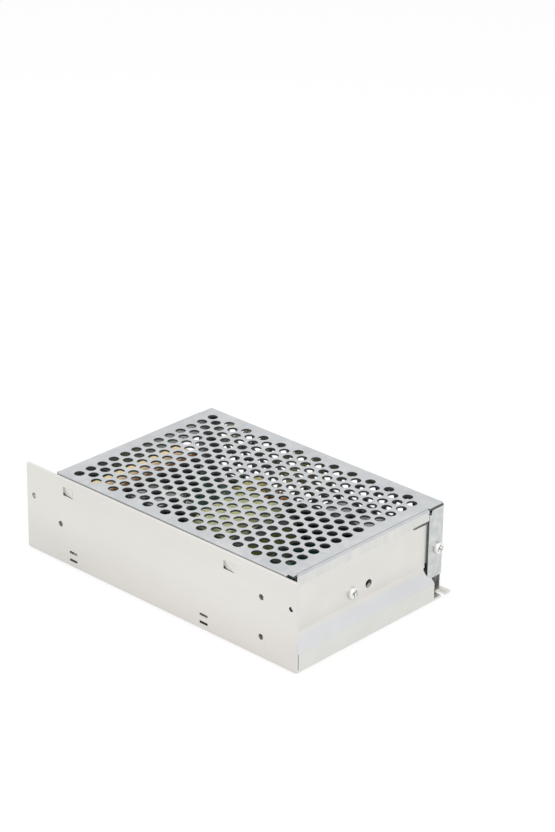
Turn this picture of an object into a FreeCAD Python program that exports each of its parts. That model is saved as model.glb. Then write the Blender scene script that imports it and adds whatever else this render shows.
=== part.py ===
"""Mesh case switching power supply: folded base, perforated cover, circuit board and its parts.

Places are measured in millimetres from the corner of the case at the terminal end, beside the solid
side wall and on the floor: X along the case, Y across it, Z up. Each finished sub-part is then placed
so that the origin lies under the middle of the case.
"""
import FreeCAD, Part
import math
import os
import re
import Sketcher

from FreeCAD import Vector

doc = FreeCAD.newDocument("power_supply")
sheet = doc.addObject("Spreadsheet::Sheet", "sizes")

# Driving sizes, in millimetres and degrees
DRIVING = {
    # Case
    "case_length": 160.0,
    "case_width": 98.0,
    "case_height": 42.0,
    "base_gauge": 1.5,
    "cover_gauge": 0.9,
    "base_bend": 1.8,
    "end_bend": 1.0,
    "cover_bend": 0.8,
    "fold_gap": 0.3,
    "wall_drop": 0.5,
    # Base
    "end_foot_height": 9.0,
    "end_slope_rise": 5.5,
    "end_foot_margin": 11.0,
    "fold_offset": 0.65,
    "edge_notch_radius": 1.8,
    "tapped_radius": 1.3,
    "collar_wall": 0.9,
    "collar_depth": 1.2,
    "plain_hole_radius": 1.5,
    "side_hole_front": 21.2,
    "side_hole_front_height": 19.2,
    "side_hole_rear": 19.4,
    "side_hole_low": 10.2,
    "side_hole_spacing": 18.3,
    "ear_hole_along": 4.3,
    "ear_hole_height": 27.0,
    "base_hole_end": 22.0,
    "base_hole_side": 17.0,
    "front_notch_across": 4.35,
    "rear_notch_across": 4.4,
    "notch_radius": 1.75,
    "notch_depth": 4.3,
    "bridge_length": 4.6,
    "bridge_height": 2.6,
    "bridge_reach": 1.6,
    "bridge_slot": 1.1,
    "bridge_front": 29.0,
    "bridge_rear": 108.0,
    "tab_front": 26.2,
    "tab_rear": 122.3,
    "tab_height": 35.7,
    "tab_width": 6.0,
    "tab_rise": 4.0,
    "tab_depth": 0.8,
    "tab_slit": 0.5,
    "end_slot_across": 83.0,
    "end_slot_height": 36.2,
    "end_slot_length": 9.0,
    "end_slot_width": 1.8,
    "clamp_screw_across": 40.5,
    "clamp_screw_height": 19.9,
    "spare_hole_across": 50.4,
    "spare_hole_height": 20.7,
    "edge_hole_rear": 3.0,
    "edge_hole_height": 29.1,
    "edge_hole_radius": 1.1,
    # Cover
    "cover_front": 16.3,
    "cover_rear_margin": 5.0,
    "lip_depth": 12.0,
    "column_width": 8.0,
    "foot_front": 0.6,
    "rear_lip_depth": 5.5,
    "rear_lip_near": 5.3,
    "rear_tab_width": 10.0,
    "rear_tab_foot": 8.0,
    "rear_tab_seam": 0.6,
    "rear_tab_chamfer": 1.6,
    "flange_depth": 10.0,
    "window_margin": 0.7,
    "tab_screw_across": 3.9,
    "tab_screw_height": 21.4,
    # Perforation
    "hole_radius": 2.35,
    "hole_pitch": 6.84,
    "row_pitch": 5.26,
    "field_end_margin": 8.8,
    "field_side_margin": 7.9,
    "wall_field_margin": 4.3,
    "field_inset": 1.6,
    # Circuit board
    "board_gauge": 1.6,
    "board_under": 7.0,
    "board_front": 0.5,
    "board_step": 8.6,
    "board_step_width": 10.8,
    "board_margin": 0.4,
    "board_rear_margin": 1.0,
    "film_gauge": 0.4,
    "film_margin": 1.0,
    "standoff_radius": 2.7,
    "screw_radius": 1.5,
    "screw_head_radius": 2.7,
    "screw_head_height": 1.7,
    "screw_length": 5.0,
    "nut_height": 2.4,
    "nut_radius": 3.1,
    "foot_screw_along": 4.0,
    "foot_screw_across": 4.7,
    "board_screw_inset": 5.2,
    # Terminal block
    "block_front": 3.0,
    "block_depth": 17.6,
    "block_near": 17.9,
    "block_floor": 7.0,
    "cell_pitch": 9.5,
    "barrier": 1.7,
    "barrier_height": 5.0,
    "barrier_front": 0.5,
    "barrier_slope": 1.6,
    "block_wall": 3.0,
    "block_wall_height": 5.6,
    "ear_height": 8.9,
    "hinge_height": 7.4,
    "hinge_inset": 1.4,
    "ear_round": 1.2,
    "pin_radius": 0.75,
    "pin_gap": 0.06,
    "flap_gap": 0.35,
    "flap_gauge": 1.1,
    "flap_reach": 11.8,
    "flap_tilt": 15.0,
    "flap_bead": 0.75,
    "flap_corner": 2.5,
    "plate_gauge": 0.8,
    "plate_width": 7.1,
    "plate_length": 11.0,
    "tongue_width": 2.8,
    "tongue_reach": 2.2,
    "terminal_screw_along": 6.5,
    "terminal_screw_radius": 1.7,
    "terminal_head_radius": 2.9,
    "terminal_head_height": 2.2,
    "terminal_shank": 5.4,
    "well_gap": 0.2,
    "washer_side": 6.6,
    "washer_gauge": 0.8,
    "drive_width": 0.7,
    "drive_depth": 0.9,
    "drive_length": 3.2,
    # Trimmer and signal lamp
    "trimmer_along": 4.3,
    "trimmer_across": 14.1,
    "trimmer_radius": 3.2,
    "trimmer_body_height": 2.4,
    "trimmer_lift": 3.4,
    "dial_radius": 2.8,
    "dial_height": 1.6,
    "dial_spindle": 1.0,
    "lamp_along": 17.2,
    "lamp_across": 11.3,
    "lamp_radius": 1.5,
    "lamp_height": 3.4,
    "lamp_resistor_gap": 4.9,
    "lead_radius": 0.3,
    "lead_rise": 0.5,
    # Transformer
    "transformer_along": 86.1,
    "transformer_across": 44.5,
    "winding_width": 20.8,
    "winding_length": 36.4,
    "winding_top": 26.0,
    "winding_lift": 1.6,
    "winding_pin_pitch": 4.0,
    "core_leg": 5.6,
    "core_height": 11.5,
    "core_lift": 7.7,
    "outer_leg": 6.0,
    "centre_leg": 10.0,
    "crown_fall": 3.2,
    "crown_half": 9.0,
    # Parts on the board
    "bulk_radius": 8.0,
    "bulk_height": 23.0,
    "bulk_along": 114.0,
    "bulk_across": 77.0,
    "bulk_spacing": 17.0,
    "crown_inset": 1.2,
    "crown_depth": 0.5,
    "output_cap_radius": 5.0,
    "output_cap_height": 18.0,
    "output_cap_along": 36.0,
    "output_cap_across": 44.0,
    "output_cap_spacing": 11.0,
    "small_cap_radius": 2.6,
    "small_cap_height": 8.0,
    "front_can_along": 24.5,
    "front_can_across": 14.4,
    "chip_can_offset": 14.4,
    "choke_along": 72.6,
    "choke_across": 80.0,
    "choke_radius": 8.0,
    "choke_hole": 3.6,
    "choke_height": 10.5,
    "turn_radius": 0.6,
    "turn_clearance": 0.15,
    "line_cap_along": 57.6,
    "line_cap_across": 81.5,
    "line_cap_length": 15.0,
    "line_cap_width": 8.0,
    "line_cap_height": 14.0,
    "disc_radius": 4.5,
    "disc_thickness": 3.0,
    "disc_along": 126.0,
    "disc_across": 56.0,
    "fuse_along": 33.0,
    "fuse_across": 60.0,
    "fuse_length": 20.0,
    "fuse_radius": 2.6,
    "fuse_cap_length": 5.0,
    "fuse_lift": 1.2,
    "clip_height": 3.6,
    "clip_mouth": 4.2,
    "thermistor_along": 53.0,
    "thermistor_across": 62.0,
    "bridge_along": 94.2,
    "bridge_across": 80.0,
    "bridge_body_length": 20.0,
    "bridge_body_thickness": 4.0,
    "bridge_body_height": 15.0,
    "package_width": 10.4,
    "package_height": 13.6,
    "package_gauge": 4.4,
    "package_tab": 6.0,
    "package_tab_gauge": 1.3,
    "pad_gauge": 0.3,
    "pad_overhang": 1.5,
    "rectifier_along": 58.0,
    "rectifier_lift": 3.0,
    "sink_across": 9.4,
    "sink_length": 33.2,
    "sink_height": 19.5,
    "sink_fold": 5.0,
    "inductor_along": 60.0,
    "inductor_across": 24.0,
    "inductor_radius": 8.0,
    "inductor_hole": 4.4,
    "inductor_height": 9.0,
    "chip_length": 9.6,
    "chip_width": 6.4,
    "chip_height": 3.4,
    "chip_along": 118.0,
    "chip_across": 32.0,
    "coupler_along": 100.0,
    "coupler_across": 16.0,
    "coupler_length": 4.8,
    "resistor_radius": 1.2,
    "resistor_length": 6.4,
    "body_lift": 0.3,
}
for row, (alias, value) in enumerate(DRIVING.items(), start=1):
    sheet.set(f"A{row}", alias)
    sheet.set(f"B{row}", str(value))
    sheet.setAlias(f"B{row}", alias)
doc.recompute()

COUNTS = {
    "cells": 7,
    "hole_sides": 6,
    "wire_sides": 4,
    "small_sides": 8,
    "round_sides": 12,
    "can_sides": 20,
    "winding_pins": 10,
    "strip_rows": 4,
}


def in_sheet(word):
    return f"sizes.{word.group()}" if word.group() in DRIVING else word.group()


def bound(text):
    """Expression in which each driving size is read from the sheet."""
    return re.sub(r"[a-z][a-z_]+", in_sheet, str(text))


def size(text):
    """Value that an expression has now, worked out from the sheet's cells."""
    pieces = re.split(r"([a-z][a-z_]+)", str(text))
    plain = "".join(repr(float(sheet.get(piece))) if piece in DRIVING else piece for piece in pieces)
    return float(FreeCAD.Units.Quantity(plain).Value)


def seat(item, x, y, z):
    """Bind an object's place to expressions."""
    item.setExpression("Placement.Base.x", bound(x))
    item.setExpression("Placement.Base.y", bound(y))
    item.setExpression("Placement.Base.z", bound(z))
    return item


finished = []


def finish(item, label=None, place=("0", "0", "0")):
    """Name a finished sub-part and move it from the case's corner to the middle."""
    item.Label = label or item.Name
    x, y, z = place
    seat(item, f"{x} - case_length / 2", f"{y} - case_width / 2", z)
    finished.append(item)
    return item


def block(name, low, spans):
    """Part::Box with its low corner and its three sizes bound."""
    item = doc.addObject("Part::Box", name)
    for side, text in zip(("Length", "Width", "Height"), spans):
        item.setExpression(side, bound(text))
    return seat(item, *low)


TURNS = {
    "x": FreeCAD.Rotation(Vector(0, 1, 0), 90),
    "y": FreeCAD.Rotation(Vector(1, 0, 0), -90),
    "z": FreeCAD.Rotation(),
}


def rod(name, foot, radius, height, axis="z"):
    """Part::Cylinder from the middle of its foot, along one axis."""
    item = doc.addObject("Part::Cylinder", name)
    item.setExpression("Radius", bound(radius))
    item.setExpression("Height", bound(height))
    item.Placement = FreeCAD.Placement(Vector(0, 0, 0), TURNS[axis])
    return seat(item, *foot)


def prism(name, foot, radius, height, axis="z", sides="small_sides"):
    """Part::Prism whose corners lie on a circle, for round pieces that are small or repeat."""
    item = doc.addObject("Part::Prism", name)
    item.Polygon = COUNTS[sides]
    item.setExpression("Circumradius", bound(radius))
    item.setExpression("Height", bound(height))
    item.Placement = FreeCAD.Placement(Vector(0, 0, 0), TURNS[axis])
    return seat(item, *foot)


def fuse(name, *pieces):
    item = doc.addObject("Part::MultiFuse", name)
    item.Shapes = list(pieces)
    return item


def cut(name, base, *tools):
    item = doc.addObject("Part::Cut", name)
    item.Base = base
    item.Tool = tools[0] if len(tools) == 1 else fuse(name + "_tools", *tools)
    return item


def group(name, *pieces):
    """Separate solids that share one node."""
    item = doc.addObject("Part::Compound", name)
    item.Links = list(pieces)
    return item


def body(name):
    return doc.addObject("PartDesign::Body", name)


def sketch_on(part, name, plane, start):
    """Sketch on one of the body's own origin planes, moved along its axis."""
    sketch = part.newObject("Sketcher::SketchObject", name)
    planes = {item.Role: item for item in part.Origin.OriginFeatures}
    sketch.AttachmentSupport = [(planes[plane + "_Plane"], "")]
    sketch.MapMode = "FlatFace"
    side = "-1" if plane == "XZ" else "1"
    sketch.setExpression("AttachmentOffset.Base.z", bound(f"({start}) * {side}"))
    return sketch


def locate(sketch, item, end, x, y):
    """Tie one point of the sketch to its distances from the origin."""
    for kind, text, axis in (("DistanceX", x, -2), ("DistanceY", y, -1)):
        now = size(text)
        if abs(now) < 1e-7:
            sketch.addConstraint(Sketcher.Constraint("PointOnObject", item, end, axis))
        elif now > 0:
            number = sketch.addConstraint(Sketcher.Constraint(kind, -1, 1, item, end, now))
            sketch.setExpression(f"Constraints[{number}]", bound(text))
        else:
            number = sketch.addConstraint(Sketcher.Constraint(kind, item, end, -1, 1, -now))
            sketch.setExpression(f"Constraints[{number}]", bound(f"-({text})"))


def polygon(sketch, points):
    """Closed outline through points whose places are expressions."""
    places = [Vector(size(x), size(y), 0) for x, y in points]
    first = sketch.GeometryCount
    count = len(points)
    for index in range(count):
        sketch.addGeometry(Part.LineSegment(places[index], places[(index + 1) % count]))
    for index in range(count):
        after = first + (index + 1) % count
        sketch.addConstraint(Sketcher.Constraint("Coincident", first + index, 2, after, 1))
    for index, (x, y) in enumerate(points):
        locate(sketch, first + index, 1, x, y)


def circle(sketch, x, y, radius):
    ring = Part.Circle(Vector(size(x), size(y), 0), Vector(0, 0, 1), size(radius))
    number = sketch.addGeometry(ring)
    locate(sketch, number, 3, x, y)
    limit = sketch.addConstraint(Sketcher.Constraint("Radius", number, size(radius)))
    sketch.setExpression(f"Constraints[{limit}]", bound(radius))


def draw(sketch, shapes):
    """A shape is a list of points, or a circle as (x, y, radius)."""
    for shape in shapes:
        if isinstance(shape, tuple):
            circle(sketch, *shape)
        else:
            polygon(sketch, shape)


def rectangle(x, y, length, width):
    right = f"{x} + {length}"
    top = f"{y} + {width}"
    return [(x, y), (right, y), (right, top), (x, top)]


def facets(x, y, radius, sides="small_sides"):
    """Outline with a few sides, its corners on a circle, for small round forms."""
    count = COUNTS[sides]
    points = []
    for step in range(count):
        turn = 2 * math.pi * step / count
        points.append((f"{x} + ({radius}) * {math.cos(turn):.6f}", f"{y} + ({radius}) * {math.sin(turn):.6f}"))
    return points


def pad(part, name, plane, start, shapes, length):
    """Add material from start, along the plane's own axis."""
    sketch = sketch_on(part, name + "_sketch", plane, start)
    draw(sketch, shapes)
    feature = part.newObject("PartDesign::Pad", name)
    feature.Profile = sketch
    feature.Reversed = plane == "XZ"
    feature.setExpression("Length", bound(length))
    return feature


def pocket(part, name, plane, start, shapes, length):
    """Take material away from start, along the plane's own axis."""
    sketch = sketch_on(part, name + "_sketch", plane, start)
    draw(sketch, shapes)
    feature = part.newObject("PartDesign::Pocket", name)
    feature.Profile = sketch
    feature.Reversed = plane != "XZ"
    feature.setExpression("Length", bound(length))
    return feature


def lies_at(edge, places):
    """Whether both ends of an edge are at the given places along x, y or z."""
    ends = [vertex.Point for vertex in edge.Vertexes]
    apart = [abs(getattr(end, axis) - at) for end in ends for axis, at in places.items()]
    return len(ends) == 2 and max(apart) < 1e-4


def round_off(part, name, radius, *where):
    """Fillet the edges of the body's last feature that lie at the given places."""
    doc.recompute()
    last = part.Tip
    edges = enumerate(last.Shape.Edges, start=1)
    names = [f"Edge{number}" for number, edge in edges if any(lies_at(edge, places) for places in where)]
    feature = part.newObject("PartDesign::Fillet", name)
    feature.Base = (last, names)
    feature.setExpression("Radius", bound(radius))
    return feature


# Places that several sub-parts share
END_FACE = "(case_length - cover_rear_margin - cover_gauge)"
END_INNER = "(case_length - cover_rear_margin - cover_gauge - base_gauge)"
COVER_REAR = "(case_length - cover_rear_margin)"
COVER_NEAR = "(base_gauge + fold_gap)"
BOARD_TOP = "(board_under + board_gauge)"
BOARD_NEAR = "(base_gauge + board_margin)"
BOARD_FAR = "(case_width - cover_gauge - board_margin)"
BOARD_REAR = "(case_length - cover_rear_margin - cover_gauge - base_gauge - board_rear_margin)"
WALL_TOP = "(case_height - wall_drop)"
SLOPE_TOP = "(end_foot_height + end_slope_rise)"

# Tapped holes of the side wall as (along, height), and of the floor as (along, across)
SIDE_TAPPED = [
    ("side_hole_front", "side_hole_front_height"),
    ("case_length - side_hole_rear", "side_hole_low"),
    ("case_length - side_hole_rear", "side_hole_low + side_hole_spacing"),
    ("ear_hole_along", "ear_hole_height"),
]
BASE_TAPPED = [
    ("base_hole_end", "base_hole_side"),
    ("case_length - base_hole_end", "base_hole_side"),
    ("base_hole_end", "case_width - base_hole_side"),
    ("case_length - base_hole_end", "case_width - base_hole_side"),
]
FOOT_SCREW = ("foot_screw_along", "case_width - foot_screw_across")
BOARD_SCREWS = [
    ("board_step + board_screw_inset", f"{BOARD_NEAR} + board_screw_inset"),
    (f"{BOARD_REAR} - board_screw_inset", f"{BOARD_NEAR} + board_screw_inset"),
    (f"{BOARD_REAR} - board_screw_inset", f"{BOARD_FAR} - board_screw_inset"),
]
BRIDGES = ["bridge_front", "bridge_rear"]
TABS = ["tab_front", "tab_rear"]


def base_chassis():
    """Floor, solid side wall and stepped end wall, folded from one aluminium sheet."""
    part = body("base_chassis")
    floor = rectangle("0", "0", "case_length", "case_width")
    pad(part, "floor", "XY", "0", [floor], "base_gauge")
    wall = rectangle("0", "0", "case_length", WALL_TOP)
    pad(part, "side_wall", "XZ", "0", [wall], "base_gauge")
    round_off(part, "wall_bend", "base_bend", {"y": 0.0, "z": 0.0})
    wall_top = "case_height - cover_gauge - fold_gap"
    profile = [
        ("case_length", "0"),
        ("case_length", "end_foot_height"),
        (END_FACE, SLOPE_TOP),
        (END_FACE, wall_top),
        (END_INNER, wall_top),
        (END_INNER, f"{SLOPE_TOP} - fold_offset"),
        ("case_length - base_gauge", "end_foot_height - fold_offset"),
        ("case_length - base_gauge", "0"),
    ]
    pad(part, "end_wall", "XZ", COVER_NEAR, [profile], f"case_width - end_foot_margin - {COVER_NEAR}")
    rear_at = size("case_length")
    foot_edge = {"x": rear_at, "z": size("end_foot_height")}
    slope_edge = {"x": size(END_FACE), "z": size(SLOPE_TOP)}
    round_off(part, "slope_bends", "base_bend", foot_edge, slope_edge)
    round_off(part, "rear_bend", "end_bend", {"x": rear_at, "z": 0.0})
    reach_low = f"({SLOPE_TOP} + base_bend)"
    behind_tab = rectangle(END_INNER, reach_low, "base_gauge", f"{wall_top} - {reach_low}")
    reach = "end_foot_margin - cover_gauge - fold_gap + base_gauge"
    pad(part, "end_wall_reach", "XZ", "case_width - end_foot_margin - base_gauge", [behind_tab], reach)
    collars = [facets(x, z, "tapped_radius + collar_wall", "round_sides") for x, z in SIDE_TAPPED]
    pad(part, "wall_collars", "XZ", "base_gauge", collars, "collar_depth")
    collars = [facets(x, y, "tapped_radius + collar_wall", "round_sides") for x, y in BASE_TAPPED]
    pad(part, "floor_collars", "XY", "base_gauge", collars, "collar_depth")
    ledges = [
        rectangle(f"{x} - bridge_length / 2", "board_under - bridge_height", "bridge_length", "bridge_height")
        for x in BRIDGES
    ]
    pad(part, "board_ledges", "XZ", "base_gauge", ledges, "bridge_reach")
    tab_low = "tab_height - tab_rise / 2"
    dimples = [rectangle(f"{x} - tab_width / 2", tab_low, "tab_width", "tab_rise") for x in TABS]
    pad(part, "tab_backs", "XZ", "base_gauge", dimples, "tab_depth")
    holes = [(x, z, "tapped_radius") for x, z in SIDE_TAPPED]
    edge_hole = facets("case_length - edge_hole_rear", "edge_hole_height", "edge_hole_radius", "round_sides")
    pocket(part, "wall_holes", "XZ", "0", holes + [edge_hole], "base_gauge + collar_depth")
    holes = [(x, y, "tapped_radius") for x, y in BASE_TAPPED]
    pocket(part, "floor_holes", "XY", "0", holes, "base_gauge + collar_depth")
    slots = []
    for x in BRIDGES:
        left = f"{x} - bridge_length / 2"
        slots.append(rectangle(left, "board_under", "bridge_length", "bridge_slot"))
        low = "board_under - bridge_height - bridge_slot"
        slots.append(rectangle(left, low, "bridge_length", "bridge_slot"))
    pocket(part, "bridge_slots", "XZ", "0", slots, "base_gauge")
    pocket(part, "tab_dimples", "XZ", "0", dimples, "tab_depth")
    slits = []
    for x in TABS:
        left = f"{x} - tab_width / 2"
        slits.append([
            (left, tab_low),
            (f"{left} + tab_width", tab_low),
            (f"{left} + tab_width", f"{tab_low} + tab_slit"),
            (f"{left} + tab_slit", f"{tab_low} + tab_slit"),
            (f"{left} + tab_slit", f"{tab_low} + tab_rise"),
            (left, f"{tab_low} + tab_rise"),
        ])
    pocket(part, "tab_slits", "XZ", "0", slits, "base_gauge + tab_depth")
    slot_left = "end_slot_across - end_slot_length / 2"
    slot_low = "end_slot_height - end_slot_width / 2"
    end_holes = [
        facets("clamp_screw_across", "clamp_screw_height", "screw_radius + well_gap", "round_sides"),
        facets("spare_hole_across", "spare_hole_height", "plain_hole_radius", "round_sides"),
        facets("case_width - tab_screw_across", "tab_screw_height", "screw_radius + well_gap", "round_sides"),
        rectangle(slot_left, slot_low, "end_slot_length", "end_slot_width"),
    ]
    pocket(part, "end_holes", "YZ", END_INNER, end_holes, "base_gauge")
    notch = ("case_width - end_foot_margin", f"{SLOPE_TOP} - edge_notch_radius", "edge_notch_radius")
    pocket(part, "edge_notch", "YZ", END_INNER, [notch], "case_length - " + END_INNER)
    flat = "(notch_depth - notch_radius)"
    near_side = "front_notch_across - notch_radius"
    far_side = "case_width - rear_notch_across - notch_radius"
    mouths = [
        rectangle("0", near_side, flat, "notch_radius * 2"),
        rectangle(f"case_length - {flat}", far_side, flat, "notch_radius * 2"),
    ]
    pocket(part, "notch_mouths", "XY", "0", mouths, "base_gauge")
    rounds = [
        (flat, "front_notch_across", "notch_radius"),
        (f"case_length - {flat}", "case_width - rear_notch_across", "notch_radius"),
    ]
    pocket(part, "notch_rounds", "XY", "0", rounds, "base_gauge")
    return finish(part)


def row_places(start, end, pitch, inset):
    """Evenly spaced places, centred between start and end and at least inset from them."""
    count = int((end - start - 2 * inset) / pitch + 1e-6) + 1
    first = (start + end - (count - 1) * pitch) / 2
    return [first + index * pitch for index in range(count)]


def pierced_strip(corner, along, across, start, end, width, centres):
    """Strip of sheet from start to end along the panel, with its rows of holes, as one flat face."""
    sides = COUNTS["hole_sides"]
    # a hole with few sides keeps the area of the round one
    reach = size("hole_radius") * math.sqrt(2 * math.pi / (sides * math.sin(2 * math.pi / sides)))
    low = corner + along * start
    high = corner + along * end
    wires = [Part.makePolygon([low, high, high + across * width, low + across * width, low])]
    for u, v in centres:
        ring = []
        for step in range(sides + 1):
            angle = 2 * math.pi * step / sides
            ring.append(corner + along * (u + reach * math.cos(angle)) + across * (v + reach * math.sin(angle)))
        wires.append(Part.makePolygon(ring))
    return Part.makeFace(Part.makeCompound(wires), "Part::FaceMakerBullseye")


def perforated(name, corner, along, across, length, width, rows):
    """Flat sheet from its corner, length by width. Each row is its place along, and its holes' places across."""
    inward = across.cross(along)
    half = size("row_pitch") / 2
    strips = []
    together = COUNTS["strip_rows"]
    for first in range(0, len(rows), together):
        part_rows = rows[first:first + together]
        start = part_rows[0][0] - half if first else 0.0
        end = part_rows[-1][0] + half if first + together < len(rows) else length
        centres = [(u, v) for u, places in part_rows for v in places]
        face = pierced_strip(corner, along, across, start, end, width, centres)
        strips.append(face.extrude(inward * size("cover_gauge")))
    item = doc.addObject("Part::Feature", name)
    item.Shape = strips[0].multiFuse(strips[1:])
    return item


def mesh_cover():
    """Perforated top and far wall with lips, front column, foot and rear tab, from one steel sheet."""
    part = body("cover_shell")
    span = f"({COVER_REAR} - cover_front)"
    top = rectangle("cover_front", COVER_NEAR, span, f"case_width - {COVER_NEAR}")
    pad(part, "top_sheet", "XY", "case_height - cover_gauge", [top], "cover_gauge")
    wall = rectangle("cover_front", "base_gauge", span, "case_height - base_gauge")
    pad(part, "far_wall", "XZ", "case_width - cover_gauge", [wall], "cover_gauge")
    flange = rectangle("cover_front + cover_gauge", "case_height - flange_depth",
                       f"{span} - cover_gauge * 2 - base_gauge", "flange_depth")
    pad(part, "near_flange", "XZ", COVER_NEAR, [flange], "cover_gauge")
    lip_low = "case_height - lip_depth"
    column = "case_width - column_width"
    front = [
        (COVER_NEAR, "case_height"),
        (COVER_NEAR, lip_low),
        (column, lip_low),
        (column, BOARD_TOP),
        ("case_width", BOARD_TOP),
        ("case_width", "case_height"),
    ]
    pad(part, "front_lip", "YZ", "cover_front", [front], "cover_gauge")
    foot = rectangle("foot_front", column, "cover_front + cover_gauge - foot_front", "column_width")
    pad(part, "foot", "XY", BOARD_TOP, [foot], "cover_gauge")
    lip_far = "case_width - rear_tab_width - rear_tab_seam"
    lip = rectangle("rear_lip_near", "case_height - rear_lip_depth", f"{lip_far} - rear_lip_near",
                    "rear_lip_depth")
    pad(part, "rear_lip", "YZ", END_FACE, [lip], "cover_gauge")
    tab_near = "case_width - rear_tab_width"
    tab_top = "case_height - cover_gauge - rear_tab_seam"
    tab = [
        (tab_near, "rear_tab_foot"),
        ("case_width", "rear_tab_foot"),
        ("case_width", tab_top),
        (f"{tab_near} + rear_tab_chamfer", tab_top),
        (tab_near, f"{tab_top} - rear_tab_chamfer"),
    ]
    pad(part, "rear_tab", "YZ", END_FACE, [tab], "cover_gauge")
    top_at = size("case_height")
    front_at = size("cover_front")
    rear_at = size(COVER_REAR)
    near_at = size(COVER_NEAR)
    far_at = size("case_width")
    round_off(part, "top_bends", "cover_bend", {"y": far_at, "z": top_at}, {"y": near_at, "z": top_at},
              {"x": front_at, "z": top_at}, {"x": rear_at, "z": top_at})
    field_x = "cover_front + field_inset"
    field_y = f"{COVER_NEAR} + field_inset"
    field_length = f"{span} - field_inset * 2"
    field_width = f"case_width - {COVER_NEAR} - field_inset * 2"
    window = rectangle(field_x, field_y, field_length, field_width)
    pocket(part, "top_window", "XY", "case_height - cover_gauge", [window], "cover_gauge")
    wall_low = "base_gauge + field_inset"
    wall_height = "case_height - base_gauge - field_inset * 2"
    window = rectangle(field_x, wall_low, field_length, wall_height)
    pocket(part, "wall_window", "XZ", "case_width - cover_gauge", [window], "cover_gauge")
    windows = [
        rectangle(f"{x} - tab_width / 2 - window_margin", "tab_height - tab_rise / 2 - window_margin",
                  "tab_width + window_margin * 2", "tab_rise + window_margin * 2")
        for x in TABS
    ]
    pocket(part, "tab_windows", "XZ", COVER_NEAR, windows, "cover_gauge")
    hole_radius = "screw_radius + well_gap"
    foot_hole = facets(*FOOT_SCREW, hole_radius, "round_sides")
    pocket(part, "foot_hole", "XY", BOARD_TOP, [foot_hole], "cover_gauge")
    tab_hole = facets("case_width - tab_screw_across", "tab_screw_height", hole_radius, "round_sides")
    pocket(part, "tab_hole", "YZ", END_FACE, [tab_hole], "cover_gauge")
    columns = row_places(front_at, rear_at, size("row_pitch"), size("field_end_margin"))
    across = row_places(0.0, far_at, size("hole_pitch"), size("field_side_margin"))
    half = size("hole_pitch") / 2
    along_at = size(field_x)
    across_at = size(field_y)
    wall_top = size(f"{wall_low} + {wall_height}")
    floor_limit = size(f"{BOARD_TOP} + hole_radius / 2")
    top_rows = []
    wall_rows = []
    for number, x in enumerate(columns):
        shift = half if number % 2 else 0.0
        row = across[:-1] if number % 2 else across
        top_rows.append((x - along_at, [y + shift - across_at for y in row]))
        first = size("case_height - wall_field_margin") - shift
        count = int((first - floor_limit) / (half * 2)) + 1
        wall_rows.append((x - along_at, [wall_top - first + step * half * 2 for step in range(count)]))
    top_panel = perforated("perforated_top", Vector(along_at, across_at, top_at), Vector(1, 0, 0),
                           Vector(0, 1, 0), size(field_length), size(field_width), top_rows)
    wall_panel = perforated("perforated_wall", Vector(along_at, far_at, wall_top), Vector(1, 0, 0),
                            Vector(0, 0, -1), size(field_length), size(wall_height), wall_rows)
    cover = fuse("mesh_cover", part, top_panel, wall_panel)
    cover.Refine = False
    return finish(cover)


def circuit_board():
    """Board with a stepped front edge and a hole at each screw."""
    part = body("circuit_board")
    outline = [
        ("board_step", BOARD_NEAR),
        (BOARD_REAR, BOARD_NEAR),
        (BOARD_REAR, BOARD_FAR),
        ("board_front", BOARD_FAR),
        ("board_front", "board_step_width"),
        ("board_step", "board_step_width"),
    ]
    pad(part, "board", "XY", "board_under", [outline], "board_gauge")
    holes = [facets(x, y, "screw_radius + well_gap") for x, y in [FOOT_SCREW] + BOARD_SCREWS]
    reach = "bridge_reach + base_gauge + fold_gap"
    for x in BRIDGES:
        left = f"{x} - bridge_length / 2 - fold_gap"
        holes.append(rectangle(left, BOARD_NEAR, "bridge_length + fold_gap * 2", f"{reach} - {BOARD_NEAR}"))
    pocket(part, "board_holes", "XY", "board_under", holes, "board_gauge")
    return finish(part)


def insulating_sheet():
    """Thin film on the floor between the spacers, cut out round the tapped holes."""
    part = body("insulating_sheet")
    inset = "(board_screw_inset + standoff_radius + film_margin)"
    near = f"{BOARD_NEAR} + {inset}"
    outline = rectangle("cover_front", near, f"{BOARD_REAR} - cover_front",
                        f"{BOARD_FAR} - {inset} - ({near})")
    pad(part, "film", "XY", "base_gauge", [outline], "film_gauge")
    rings = [facets(x, y, "tapped_radius + collar_wall + fold_gap", "round_sides") for x, y in BASE_TAPPED]
    pocket(part, "film_holes", "XY", "base_gauge", rings, "film_gauge")
    return finish(part)


def board_standoffs():
    """Round tapped spacers between the floor and the board."""
    spacers = []
    for number, (x, y) in enumerate([FOOT_SCREW] + BOARD_SCREWS):
        part = prism(f"spacer_{number}", (x, y, "base_gauge"), "standoff_radius", "board_under - base_gauge",
                     sides="round_sides")
        bore = prism(f"spacer_bore_{number}", (x, y, "base_gauge"), "screw_radius + pin_gap",
                     "board_under - base_gauge")
        spacers.append(cut(f"spacer_ring_{number}", part, bore))
    return finish(group("board_standoffs", *spacers))


def cross_screw(name, shank_radius, length, head_radius, head_height):
    """Cross-head screw that points down, with the underside of its head at height zero."""
    shank = prism(name + "_shank", ("0", "0", f"-({length})"), shank_radius, length)
    head = prism(name + "_head", ("0", "0", "0"), head_radius, head_height, sides="round_sides")
    arms = []
    for number, (x, y) in enumerate([("drive_length", "drive_width"), ("drive_width", "drive_length")]):
        arms.append(block(f"{name}_arm_{number}", (f"-({x}) / 2", f"-({y}) / 2", f"{head_height} - drive_depth"),
                          (x, y, "drive_depth")))
    return cut(name, fuse(name + "_blank", shank, head), *arms)


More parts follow.
